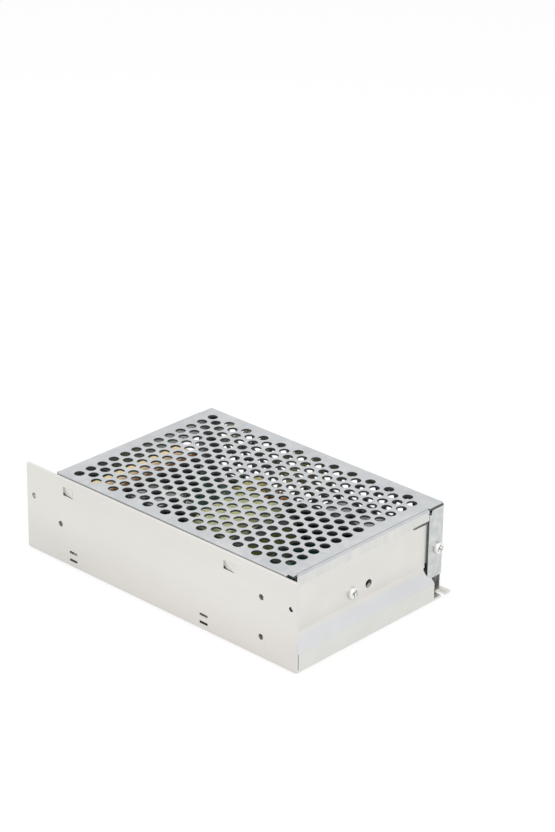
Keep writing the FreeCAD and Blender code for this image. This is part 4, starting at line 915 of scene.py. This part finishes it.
        # The rims, its cut edges and hole walls, are dark: partly bare steel, partly painted shade.
        sheet.data.materials.append(CUT_EDGE_SHADE.material())
        apply_modifier(sheet, "SOLIDIFY", thickness=self.gauge * MM, offset=-1.0, use_even_offset=True,
                       material_offset_rim=1)
        smooth(sheet, 30)
        self.dress(sheet)
        hand_over(sheet, "galvanised_steel", "mesh_cover")


@dataclass
class FoldedBase:
    """Folded aluminium base with eased edges and its two embossed tabs."""

    edge: float = 0.16
    tabs: tuple[float, float] = (26.2, 122.3)
    tab_width: float = 6.0
    tab_low: float = 33.7
    tab_high: float = 37.7
    tab_back: float = 0.85
    sunk: float = 0.62
    corner: float = 1.5
    slot_gap: float = 0.22
    spare_radius: float = 1.9
    spare_place: Point = (151.5, 50.7, 20.5)
    opening: tuple[Point, Point] = ((151.0, 1.56, 37.8), (155.0, 5.5, 42.5))
    slot: tuple[Point, Point] = ((151.0, 78.5, 34.7), (155.0, 87.5, 36.9))
    slot_round: float = 0.9
    edge_hole: tuple[float, float] = (157.0, 29.1)
    edge_hole_reach: float = 1.12
    slope_top: float = 15.5

    def tab(self, middle: float) -> Item:
        """Tongue of the wall pressed in at its lower front corner, with that corner open."""
        left = middle - self.tab_width / 2
        right = middle + self.tab_width / 2
        low = self.tab_low + self.slot_gap
        item = block("embossed_tab", (left, 0.0, low), (right, self.tab_back, self.tab_high))
        with editing(item):
            bpy.ops.mesh.subdivide(number_cuts=3)
            pick(item, Pick.POINTS, lambda x, y, z: near(x, left) and near(z, low))
            shift(self.corner, 0, 0.15)
            for share, reach in ((0.45, 5.6), (0.35, 4.2), (0.2, 2.6)):
                pick(item, Pick.POINTS, lambda x, y, z: y < 0.7 and (x - left) + (z - low) < reach)
                shift(0, self.sunk * share, 0)
        smooth(item, 50)
        return item

    def build(self, node: Item) -> None:
        """Ease the base's edges, cut its openings, paint a reflection on its slope and shade in two cut edges,
        and press in the tabs.
        """
        base = eased_copy(node, "folded_base", self.edge)
        subtract(base, block("corner_cutter", *self.opening))
        slot = block("slot_cutter", *self.slot)
        ease(slot, self.slot_round, 3)
        subtract(base, slot)
        hole = turned("hole_cutter", [(self.spare_radius, 0.0), (self.spare_radius, 4.0)], sides=40)
        stand(hole, spot(*self.spare_place), (1, 0, 0))
        subtract(base, hole)
        even_out(base)
        ALUMINIUM.cover(base)
        hole_x, hole_z = self.edge_hole
        # Painted reflection: the bluish-tinted sheet on the rear slope and on the wall's rear edge.
        dress_faces(base, SLOPE_REFLECTION_SHEET, lambda x, y, z: x > CASE_LENGTH - 0.3
                    or (x > 154.3 and z < self.slope_top and y > 1.6))
        dress_faces(base, DEEP_SHADE, lambda x, y, z: x > 151 and 5.3 < y < 5.7)
        dress_faces(base, DEEP_SHADE, lambda x, y, z: -0.01 < y < 1.51
                    and math.hypot(x - hole_x, z - hole_z) < self.edge_hole_reach)
        hand_over(base, "aluminium_sheet", "base_chassis")
        for number, middle in enumerate(self.tabs, start=1):
            tab = self.tab(middle)
            tab.name = f"embossed_tab_{number}"
            ALUMINIUM.cover(tab)
            # Painted shade on the lower front half of each tab, where it is sunk.
            dress_faces(tab, TAB_SHADE, lambda x, y, z: (x - middle) + (z - 35.7) < 0.8)
            hand_over(tab, "aluminium_sheet")


@dataclass(frozen=True)
class Head:
    """Domed screw with a cross recess, in millimetres over its seat."""

    shank: tuple[tuple[float, float], ...]
    radius: float
    low: float
    top: float
    rise: float
    bulge: float
    angles: tuple[float, ...]
    chamfer: float
    flat: float
    sides: int
    cross: tuple[float, float, float]
    shade_low: float
    finish: Finish
    shade: Finish

    def screw(self, name: str) -> Item:
        """The screw, upright at the origin."""
        rim = self.top - self.rise
        edge = [(self.radius - self.chamfer, self.low), (self.radius, self.low + self.chamfer),
                (self.radius, rim)]
        crown = dome(self.radius, rim, self.rise, self.bulge, self.angles) + [(self.flat, self.top)]
        item = turned(name, [*self.shank, *edge, *crown], self.sides)
        cross_recess(item, self.top, *self.cross)
        smooth(item, 40)
        self.finish.cover(item)
        # Painted shade on the walls of the cross recess.
        dress_faces(item, self.shade, lambda x, y, z: self.shade_low < z < self.top - 0.3
                    and math.hypot(x, y) < 2.0, AXIS)
        return item


PAN_HEAD = Head(((0.9, -4.9), (1.45, -4.3), (1.45, 0.0)), 2.7, 0.0, 1.7, 0.95, 0.4, (20, 40, 58, 74), 0.15, 0.4,
                36, (3.2, 0.5, 0.75), 0.5, NICKEL, CUT_EDGE_SHADE)
TERMINAL_HEAD = Head(((1.2, -4.5), (1.45, -4.1), (1.45, 0.86)), 2.85, 0.86, 3.0, 0.85, 0.35, (22, 44, 62, 78),
                     0.12, 0.5, 32, (4.3, 0.56, 1.0), 1.06, STRAW_ZINC, RECESS)


@dataclass
class PanScrews:
    """Cross recessed pan head screws of the foot, the rear tab and the clamp."""

    seats: tuple[tuple[str, Point, Point, float], ...] = (
        ("foot", (4.0, 93.3, 9.5), (0, 0, 1), 0.5),
        ("rear_tab", (155.0, 94.1, 21.4), (1, 0, 0), 0.9),
        ("rear_clamp", (154.1, 40.5, 19.9), (1, 0, 0), 0.3),
    )

    def build(self) -> None:
        """Set the screws in their seats."""
        for name, place, facing, roll in self.seats:
            item = PAN_HEAD.screw(name + "_pan_screw")
            stand(item, spot(*place), facing, roll)
            hand_over(item, "plated_steel", name + "_screw")


@dataclass
class Terminals:
    """Screws of the terminal block, each with its square plate and its spring washer."""

    count: int = 7
    pitch: float = 9.5
    first: float = 23.5
    along: float = 9.5
    seat: float = 16.4
    plate_side: float = 6.4
    plate_edge: float = 0.28

    def washer(self) -> Item:
        """Square clamp plate with raised edges, and the split spring washer on it."""
        plate = slab("clamp_plate", self.plate_side, 0.02, 0.42)
        with editing(plate):
            bpy.ops.mesh.subdivide(number_cuts=4)
            pick(plate, Pick.POINTS, lambda x, y, z: abs(y) > self.plate_side / 2 - 0.3, AXIS)
            shift(0, 0, self.plate_edge)
        ease(plate, 0.1)
        section = [(1.6, 0.42), (2.7, 0.42), (2.8, 0.5), (2.8, 0.78), (2.7, 0.86), (1.6, 0.86), (1.6, 0.42)]
        washers = join("washers", [plate, turned("spring_washer", section, sides=28, hollow=True)])
        smooth(washers, 30)
        STRAW_ZINC.cover(washers)
        return washers

    def build(self) -> None:
        """Make one screw with its washers, and set a copy in each cell."""
        first = join("terminal_pan_screw", [TERMINAL_HEAD.screw("screw_head"), self.washer()])
        for number in range(1, self.count + 1):
            item = twin(first, f"terminal_pan_screw_{number}")
            roll = 0.35 * ((number * 5) % 7 - 3) / 3
            stand(item, spot(self.along, self.first + self.pitch * (number - 1), self.seat), roll=roll)
            hand_over(item, "brass_plated", f"terminal_screw_{number}", f"clamp_washer_{number}",
                      body=f"screw_{number}")
        bpy.data.objects.remove(first)


@dataclass
class Cans:
    """Electrolytic capacitors of one size: sleeved cans with a crimp, a rolled rim and a vented top."""

    name: str
    node: str
    radius: float
    height: float
    sleeve: Finish
    places: tuple[tuple[float, float], ...]

    def can(self) -> Item:
        """One can, upright at the origin."""
        radius, height = (self.radius, self.height)
        rim = radius * 0.12
        crimp = min(2.2, height * 0.12)
        waist = radius * 0.955
        side = [(radius - rim, 0.0), (radius, rim * 0.7), (radius, crimp), (waist, crimp + 0.35),
                (waist, crimp + 0.6), (radius, crimp + 0.95), (radius, height - rim)]
        turns = [math.radians(angle) for angle in (30, 50, 70, 90)]
        rolled = [(radius - rim + rim * math.cos(turn), height - rim + rim * math.sin(turn)) for turn in turns]
        inner = [(radius - rim * 1.7, height - 0.02), (radius - rim * 1.9, height - rim * 0.6),
                 (radius * 0.3, height - rim * 0.5)]
        item = turned(self.name, side + rolled + inner, sides=40)
        cross_recess(item, height - rim * 0.5, radius * 1.1, radius * 0.07, radius * 0.04)
        smooth(item, 35)
        self.sleeve.cover(item)
        dress_faces(item, CAN_TOP, lambda x, y, z: z > height - rim * 1.1
                    and math.hypot(x, y) < radius - rim * 1.6, AXIS)
        return item

    def build(self) -> None:
        """Set the cans on the board, as one piece that stands for their node."""
        first = self.can()
        made = []
        for number, (x, y) in enumerate(self.places):
            item = twin(first, f"{self.name}_{number}")
            stand(item, spot(x, y, BOARD_TOP), roll=0.6 * number)
            made.append(item)
        bpy.data.objects.remove(first)
        hand_over(join(self.name, made), "can_sleeve", self.node)


MAIN_CANS = Cans("main_cans", "bulk_capacitors", 8.0, 23.3, SLEEVE, ((114, 77), (131, 77)))
OUTPUT_CANS = Cans("output_cans", "output_capacitors", 5.0, 18.3, SLEEVE,
                   ((36, 44), (47, 44), (36, 33), (47, 33)))
SMALL_CANS = Cans("small_cans", "small_capacitors", 2.6, 8.3, GREY_CAN,
                  ((24.5, 14.4), (132.4, 25.6), (108.4, 25.6)))


@dataclass
class WoundRing:
    """Ring core with two windings of round wire, turn by turn."""

    name: str
    centre: tuple[float, float]
    hole: float
    radius: float
    low: float
    high: float
    turns: int
    start: float
    core_finish: Finish
    core_slot: str
    wire: float = 0.45
    bend: float = 0.95
    lean: float = 4.0

    def turn(self) -> Item:
        """One turn of wire round the ring's section."""
        bpy.ops.mesh.primitive_torus_add(major_segments=16, minor_segments=8, major_radius=self.bend * MM,
                                         minor_radius=self.wire * MM, rotation=(QUARTER, 0, 0))
        item = bpy.context.active_object
        settle(item)
        bottom = BOARD_TOP + self.wire
        top = self.high + self.wire + 0.1
        wide = (self.radius - self.hole) / 2 + self.wire + 0.08 - self.bend
        tall = (top - bottom) / 2 - self.bend
        with editing(item):
            for sign in (1, -1):
                pick(item, Pick.POINTS, lambda x, y, z: x * sign > 0.0001, AXIS)
                shift(wide * sign, 0, 0)
            for sign in (1, -1):
                pick(item, Pick.POINTS, lambda x, y, z: z * sign > 0.0001, AXIS)
                shift(0, 0, tall * sign)
        item.rotation_euler = Euler((math.radians(self.lean), 0, 0))
        item.location = Vector(((self.radius + self.hole) / 2, 0, (top + bottom) / 2)) * MM
        settle(item)
        return item

    def build(self) -> None:
        """Turn the core and wind both halves."""
        section = [(self.hole, self.low), (self.radius, self.low), (self.radius, self.high),
                   (self.hole, self.high), (self.hole, self.low)]
        core = turned(self.name + "_ring", section, sides=48, hollow=True)
        ease(core, 0.7, 3, 50)
        stand(core, spot(*self.centre, 0))
        self.core_finish.cover(core)
        hand_over(core, self.core_slot, self.name + "_core")
        first = self.turn()
        made = []
        for half in (0, 180):
            for number in range(self.turns):
                angle = half + self.start + (180 - 2 * self.start) * number / (self.turns - 1)
                item = twin(first, "turn")
                stand(item, spot(*self.centre, 0), roll=math.radians(angle))
                made.append(item)
        bpy.data.objects.remove(first)
        wire = join(self.name + "_wire", made)
        smooth(wire, 60)
        COPPER.cover(wire)
        hand_over(wire, "copper_wire", self.name + "_winding")


LINE_CHOKE = WoundRing("line_choke", (72.6, 80.0), 3.6, 8.0, 10.1, 20.6, 9, 22.0, FERRITE, "ferrite")
OUTPUT_INDUCTOR = WoundRing("output_inductor", (60.0, 24.0), 4.4, 8.0, 10.1, 19.1, 11, 14.0, CORE_YELLOW,
                            "core_yellow")


@dataclass
class CoreTape:
    """Band of tape round the transformer's core, in the yellow tape's colour darkened by painted shade."""

    low: Point = (69.72, 26.22, 16.9)
    high: Point = (102.48, 62.78, 27.3)
    corner: float = 0.5
    gauge: float = 0.07

    def build(self) -> None:
        """Open a box above and below, and round its upright edges."""
        band = block("core_tape", self.low, self.high)
        with editing(band):
            for height in (self.low[2], self.high[2]):
                pick(band, Pick.FACES, lambda x, y, z: near(z, height))
                bpy.ops.mesh.delete(type="FACE")
            bpy.ops.mesh.select_mode(type=Pick.EDGES.value)
            bpy.ops.mesh.select_all(action="DESELECT")
            mesh = bmesh.from_edit_mesh(band.data)
            for edge in mesh.edges:
                if abs(edge.verts[0].co.z - edge.verts[1].co.z) > MM:
                    edge.select_set(True)
            bmesh.update_edit_mesh(band.data)
            bpy.ops.mesh.bevel(offset=self.corner * MM, segments=3)
        apply_modifier(band, "SOLIDIFY", thickness=self.gauge * MM, offset=-1.0)
        smooth(band)
        # Painted shade: the band is the yellow tape drawn dark olive.
        TAPE_SHADE.cover(band)
        hand_over(band, "yellow_tape")


@dataclass
class Fuse:
    """Glass fuse with its end caps and its wire."""

    start: float = 23.0
    end: float = 43.0
    axis: tuple[float, float] = (60.0, 12.4)
    radius: float = 2.6
    wall: float = 0.2
    cap: float = 5.0

    def lying(self, name: str, profile: Profile, x: float, sides: int = 32, facing: int = 1) -> Item:
        """Turned body laid down along the case, with its start at a place."""
        item = turned(name, profile, sides)
        stand(item, spot(x, *self.axis), (facing, 0, 0))
        smooth(item, 40)
        return item

    def build(self) -> None:
        """Make the tube, the caps and the wire."""
        length = self.end - self.start - 1.0
        inside = self.start + 0.5
        bore = self.radius - self.wall
        tube = self.lying("fuse_tube", [(bore - 0.05, 0.0), (bore, 0.05), (bore, length),
                                        (bore - 0.05, length + 0.05)], inside)
        GLASS.cover(tube)
        hand_over(tube, "glass_tube", "fuse")
        profile = [(self.radius - 0.35, 0.0), (self.radius - 0.08, 0.12), (self.radius, 0.4),
                   (self.radius, self.cap - 0.3), (self.radius - 0.12, self.cap), (self.radius - 0.4, self.cap)]
        wire = [(0.12, 0.0), (0.15, 0.4), (0.15, length - 0.4), (0.12, length)]
        fittings = join("fuse_caps", [self.lying("cap_front", profile, self.start),
                                      self.lying("cap_rear", profile, self.end, facing=-1),
                                      self.lying("fuse_wire", wire, inside, sides=8)])
        TIN.cover(fittings)
        hand_over(fittings, "plated_steel")


@dataclass
class Disc:
    """Lacquered disc on two wires, with its rounded rim and the lacquer run down the wires."""

    name: str
    node: str
    middle: Point
    radius: float
    finish: Finish
    slot: str
    thickness: float = 3.0

    def build(self) -> None:
        """Turn the disc, and stand it on its wires."""
        radius, half = (self.radius, self.thickness / 2)
        rim = [(0.3, 1.0), (0.72, 0.93), (0.92, 0.6)]
        profile = ([(radius * out, -half * up) for out, up in rim] + [(radius, 0.0)]
                   + [(radius * out, half * up) for out, up in reversed(rim)])
        body = turned(self.name, profile, sides=36)
        x, y, z = self.middle
        stand(body, spot(x, y, z), (1, 0, 0))
        smooth(body, 60)
        pieces = [body]
        drop = z - BOARD_TOP
        for sign in (-1, 1):
            wire = turned("wire", [(0.3, 0.0), (0.3, drop * 0.4), (0.5, drop * 0.55), (0.62, drop)], sides=10)
            stand(wire, spot(x, y + radius * 0.55 * sign, BOARD_TOP))
            smooth(wire, 60)
            pieces.append(wire)
        piece = join(self.name, pieces)
        self.finish.cover(piece)
        dress_faces(piece, TIN, lambda px, py, pz: pz < BOARD_TOP + drop * 0.45)
        hand_over(piece, self.slot, self.node)


BLUE_CAPACITOR = Disc("blue_disc_part", "disc_capacitor", (126.0, 56.0, 14.1), 4.5, BLUE_DISC, "blue_disc")
GREEN_THERMISTOR = Disc("green_disc_part", "thermistor", (53.0, 62.0, 14.1), 5.3, GREEN_DISC, "green_disc")


@dataclass
class SmallParts:
    """Lamp, resistors with bands, and the fittings beside the block's end."""

    lamp_place: Point = (17.2, 11.3, BOARD_TOP)
    lamp_radius: float = 1.5
    lamp_rim: float = 1.9
    resistor_half: float = 3.2
    resistor_places: tuple[tuple[float, float], ...] = ((17.2, 16.2), (130.5, 47.0), (109.6, 32.0))
    box: tuple[Point, Point] = ((28.2, 12.4, BOARD_TOP), (30.9, 18.4, 14.2))
    diode_place: Point = (34.2, 14.7, 9.75)

    def lamp(self) -> None:
        """Green lamp with its flange and dome."""
        radius, rim = (self.lamp_radius, self.lamp_rim)
        profile = [(1.62, 0.0), (1.8, 0.08), (1.8, 0.62), (1.72, 0.7), (radius, 0.72), (radius, rim)]
        item = turned("green_lamp", profile + dome(radius, rim, radius, 1.0, range(12, 85, 12)), sides=28)
        stand(item, spot(*self.lamp_place))
        smooth(item, 40)
        GREEN_LENS.cover(item)
        hand_over(item, "green_lens", "power_led")

    def resistor(self) -> Item:
        """Resistor with rounded ends and bands, upright at the origin."""
        half = self.resistor_half
        ends = [(0.25, -half - 0.9), (0.25, -half), (0.8, -half + 0.02), (1.12, -half + 0.3),
                (1.2, -half + 0.7), (1.2, -half + 1.25), (1.02, -half + 1.6), (1.02, -0.75), (1.02, -0.3)]
        item = turned("resistor", ends + [(radius, -height) for radius, height in reversed(ends)], sides=20)
        smooth(item, 40)
        RESISTOR.cover(item)
        for finish, low, high in ((TIN, half - 0.01, half + 1.0), (BAND, 0.29, 0.76),
                                  (COPPER, half - 1.3, half - 0.65)):
            dress_faces(item, finish, lambda x, y, z: low < abs(z) < high, AXIS)
        return item

    def resistors(self) -> None:
        """Resistors on their bent wires."""
        first = self.resistor()
        made = []
        for number, (x, y) in enumerate(self.resistor_places):
            item = twin(first, f"resistor_{number}")
            stand(item, spot(x, y, BOARD_TOP + 1.2), (1, 0, 0))
            for sign in (-1, 1):
                wire = turned("leg", [(0.25, 0.0), (0.25, 1.1), (0.2, 1.3)], sides=10)
                stand(wire, spot(x + sign * (self.resistor_half + 0.75), y, BOARD_TOP))
                TIN.cover(wire)
                made.append(wire)
            made.append(item)
        bpy.data.objects.remove(first)
        hand_over(join("banded_resistors", made), "resistor_body", "small_resistors")

    def front_parts(self) -> None:
        """Small film capacitor and diode beside the front can."""
        box = block("film_box", *self.box)
        ease(box, 0.35, 3)
        NAVY.cover(box)
        hand_over(box, "blue_disc")
        half = [(0.35, 3.4), (0.35, 2.0), (1.0, 1.95), (1.15, 1.7)]
        profile = [(radius, -height) for radius, height in half] + half[::-1]
        diode = turned("diode", profile, sides=20)
        smooth(diode, 40)
        EPOXY.cover(diode)
        dress_faces(diode, TIN, lambda x, y, z: abs(z) > 1.9, AXIS)
        stand(diode, spot(*self.diode_place), (0, 1, 0))
        hand_over(diode, "black_package")

    def build(self) -> None:
        """Make all small parts."""
        self.lamp()
        self.resistors()
        self.front_parts()


@dataclass
class BoardMarks:
    """Plain outlines in white ink on the board: rings, bars and a frame, with no letters."""

    thick: float = 0.03
    stroke: float = 0.25
    rings: tuple[tuple[float, float, float], ...] = ((24.5, 14.4, 3.1), (114, 77, 8.5), (131, 77, 8.5),
                                                     (132.4, 25.6, 3.1), (108.4, 25.6, 3.1))
    bars: tuple[tuple[float, float, float, float], ...] = (
        (21.0, 8.7, 22.6, 9.1), (25.2, 8.7, 27.4, 9.1), (29.4, 8.7, 31.0, 9.1), (33.6, 8.7, 35.6, 9.1),
        (37.2, 8.7, 38.4, 9.1), (21.0, 10.0, 22.2, 10.35), (33.6, 10.0, 35.0, 10.35), (13.2, 9.6, 13.7, 12.6),
        (12.0, 9.6, 12.4, 12.2), (45.0, 8.8, 52.0, 9.1), (56.0, 70.6, 66.0, 70.9), (22.0, 54.6, 44.0, 54.9),
        (22.0, 65.1, 44.0, 65.4), (104.0, 27.0, 104.3, 37.0))
    frame: tuple[float, float, float, float] = (0.75, 10.3, 8.2, 17.7)
    frame_hole: tuple[float, float, float, float] = (1.05, 10.6, 7.9, 17.4)

    def bar(self, name: str, sides: tuple[float, float, float, float], past: float = 0.0) -> Item:
        """Bar of ink between two corners on the board, or a cutter that reaches past it."""
        x, y, far_x, far_y = sides
        return block(name, (x, y, BOARD_TOP - past), (far_x, far_y, BOARD_TOP + self.thick + past))

    def build(self) -> None:
        """Print the marks."""
        high = BOARD_TOP + self.thick
        made = []
        for x, y, radius in self.rings:
            wide = radius + self.stroke
            section = [(radius, BOARD_TOP), (wide, BOARD_TOP), (wide, high), (radius, high),
                       (radius, BOARD_TOP)]
            ring = turned("ring", section, sides=40, hollow=True)
            stand(ring, spot(x, y, 0))
            made.append(ring)
        made += [self.bar("bar", sides) for sides in self.bars]
        outer = self.bar("frame", self.frame)
        subtract(outer, self.bar("frame_hole", self.frame_hole, 1.0))
        marks = join("board_marks", [*made, outer])
        SILK.cover(marks)
        hand_over(marks, "board")


@dataclass(frozen=True)
class Easing:
    """A solid that keeps its shape, with its edges eased."""

    node: str
    name: str
    width: float
    finish: Finish
    slot: str
    body: Body = Body.CASE
    segments: int = 2

    def build(self, nodes: dict[str, Item]) -> None:
        """Make the eased piece in its finish."""
        item = eased_copy(nodes[self.node], self.name, self.width, self.segments)
        self.finish.cover(item)
        if self.finish is BOARD:
            dress_faces(item, BOARD_EDGE, lambda x, y, z: x < 8.8 and z < BOARD_TOP - 0.02)
        hand_over(item, self.slot, self.node, body=self.body.value)


EASINGS: tuple[Easing, ...] = (
    Easing("terminal_block", "moulded_block", 0.2, BLACK, "block_plastic"),
    *(Easing(f"terminal_plate_{n}", f"tinned_plate_{n}", 0.12, TIN, "brass_plated") for n in range(1, 8)),
    Easing("terminal_cover", "amber_flap", 0.3, AMBER, "amber_plastic", Body.FLAP, 3),
    Easing("transformer_core", "ferrite_frame", 0.35, FERRITE, "ferrite"),
    Easing("transformer_winding", "taped_winding", 0.5, TAPE, "yellow_tape", segments=3),
    Easing("circuit_board", "laminate_board", 0.1, BOARD, "board"),
    Easing("board_standoffs", "standoffs", 0.25, NICKEL, "plated_steel"),
    Easing("board_screws", "board_pan_screws", 0.35, NICKEL, "plated_steel"),
    Easing("trimmer_body", "trimmer_case", 0.3, BLUE, "blue_plastic"),
    Easing("trimmer_dial", "trimmer_knob", 0.12, WHITE, "white_plastic", Body.DIAL),
    Easing("line_capacitor", "line_filter_box", 0.6, YELLOW_CASE, "yellow_case"),
    Easing("fuse_clips", "spring_clips", 0.12, TIN, "brass_plated"),
    Easing("bridge_rectifier", "bridge_body", 0.35, EPOXY, "black_package"),
    Easing("power_transistor", "transistor_body", 0.25, EPOXY, "black_package"),
    Easing("output_rectifier", "rectifier_body", 0.25, EPOXY, "black_package"),
    Easing("clamp_nut", "hexagon_nut", 0.2, NICKEL, "plated_steel"),
    Easing("rectifier_heatsink", "folded_heatsink", 0.25, ALUMINIUM, "aluminium_sheet"),
    Easing("sink_screw", "sink_pan_screw", 0.3, NICKEL, "plated_steel"),
    Easing("control_chip", "chip_body", 0.2, EPOXY, "black_package"),
    Easing("optocoupler", "coupler_body", 0.2, WHITE, "white_plastic"),
)


@dataclass
class Studio:
    """Camera, soft lights, pale floor and white surroundings."""

    eye: Point = (778.5, -682.8, 535.8)
    right: Point = (0.73051, 0.68277, 0.0134)
    down: Point = (0.29262, -0.29523, -0.90951)
    forward: Point = (-0.61703, 0.66833, -0.41546)
    lens: float = 113.68
    aim: Point = (80.0, 49.0, 20.0)
    ambient: float = 0.86
    shadow_share: float = 0.22
    floor_tone: float = 0.97
    floor_side: float = 6.0
    floor_height: float = -0.0002
    lamps: tuple[tuple[Point, float, float], ...] = (
        ((-120.0, -700.0, 620.0), 520.0, 2.2),
        ((760.0, -60.0, 520.0), 460.0, 1.4),
        ((60.0, 120.0, 900.0), 620.0, 1.6),
    )

    def hang(self, name: str, data: bpy.types.ID) -> Item:
        """New object of the studio for a camera or a lamp."""
        item = bpy.data.objects.new(name, data)
        bpy.context.scene.collection.objects.link(item)
        return item

    def camera(self) -> None:
        """Stand the camera where the photograph was taken from."""
        data = bpy.data.cameras.new("camera")
        data.lens = self.lens
        data.sensor_width = 36.0
        data.clip_start = 0.05
        data.clip_end = 30.0
        item = self.hang("camera", data)
        turn = Matrix((self.right, [-v for v in self.down], [-v for v in self.forward])).transposed()
        item.matrix_world = Matrix.Translation(spot(*self.eye)) @ turn.to_4x4()
        bpy.context.scene.camera = item

    def light(self) -> None:
        """Hang large soft lamps that all point at the middle of the case."""
        for number, (place, side, power) in enumerate(self.lamps):
            data = bpy.data.lights.new(f"lamp_{number}", "AREA")
            data.shape = "SQUARE"
            data.size = side * MM
            data.energy = power
            item = self.hang(data.name, data)
            item.location = spot(*place)
            item.rotation_euler = (spot(*self.aim) - spot(*place)).to_track_quat("-Z", "Y").to_euler()

    def seen(self, tree: Tree) -> Socket:
        """1 where a ray comes from the camera, a gloss or through something clear, else 0."""
        total = tree.node("LightPath", "Is Camera Ray", {})
        path = total.node
        for name in ("Is Glossy Ray", "Is Transmission Ray"):
            total = tree.node("Math", "Value", {0: total, 1: path.outputs[name]}, operation="MAXIMUM")
        return total

    def surround(self) -> None:
        """White world that is seen at full strength and lights the case at a plain level."""
        world = bpy.data.worlds.new("white_room")
        bpy.context.scene.world = world
        world.use_nodes = True
        tree = Tree(world.node_tree)
        background = world.node_tree.nodes["Background"]
        levels = {"Value": self.seen(tree), "To Min": self.ambient, "To Max": 1.0}
        strength = tree.node("MapRange", "Result", levels)
        tree.feed(background.inputs["Color"], (1.0, 1.0, 1.0, 1.0))
        tree.feed(background.inputs["Strength"], strength)

    def floor(self) -> None:
        """Pale floor under the case, which keeps a faint shadow."""
        bpy.ops.mesh.primitive_plane_add(size=self.floor_side, location=(0, 0, self.floor_height))
        item = bpy.context.active_object
        item.name = "studio_floor"
        material = bpy.data.materials.new("pale_floor")
        material.use_nodes = True
        material.node_tree.nodes.clear()
        tree = Tree(material.node_tree)
        tone = self.floor_tone
        diffuse = tree.node("BsdfDiffuse", "BSDF", {"Color": (tone, tone, tone, 1.0)})
        glow = tree.node("Emission", "Emission", {})
        share = tree.node("Math", "Value", {0: self.seen(tree), 1: 1 - self.shadow_share}, operation="MULTIPLY")
        blend = tree.node("MixShader", "Shader", {"Fac": share, 1: diffuse, 2: glow})
        output = material.node_tree.nodes.new("ShaderNodeOutputMaterial")
        tree.feed(output.inputs["Surface"], blend)
        item.data.materials.append(material)

    def build(self) -> None:
        """Set up the whole studio."""
        bpy.context.scene.view_settings.view_transform = "Standard"
        self.camera()
        self.light()
        self.surround()
        self.floor()


def corners(box: tuple[Vector, Vector]) -> list[list[float]]:
    """Lowest and highest corner as plain lists."""
    return [list(corner) for corner in box]


def main() -> None:
    """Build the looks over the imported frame."""
    logging.basicConfig(level=logging.INFO, format="%(name)s: %(message)s")
    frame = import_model()
    select_only()
    Studio().build()
    nodes = frame["nodes"]
    for name, finish in CARRIED_FINISHES.items():
        finish.cover(nodes[name])
    PerforatedCover().build()
    FoldedBase().build(nodes["base_chassis"])
    for assembly in (Terminals(), CoreTape(), PanScrews(), MAIN_CANS, OUTPUT_CANS, SMALL_CANS, LINE_CHOKE,
                     OUTPUT_INDUCTOR, Fuse(), BLUE_CAPACITOR, GREEN_THERMISTOR, SmallParts(), BoardMarks()):
        assembly.build()
    for easing in EASINGS:
        easing.build(nodes)
    select_only()


if __name__ == "__main__":
    main()
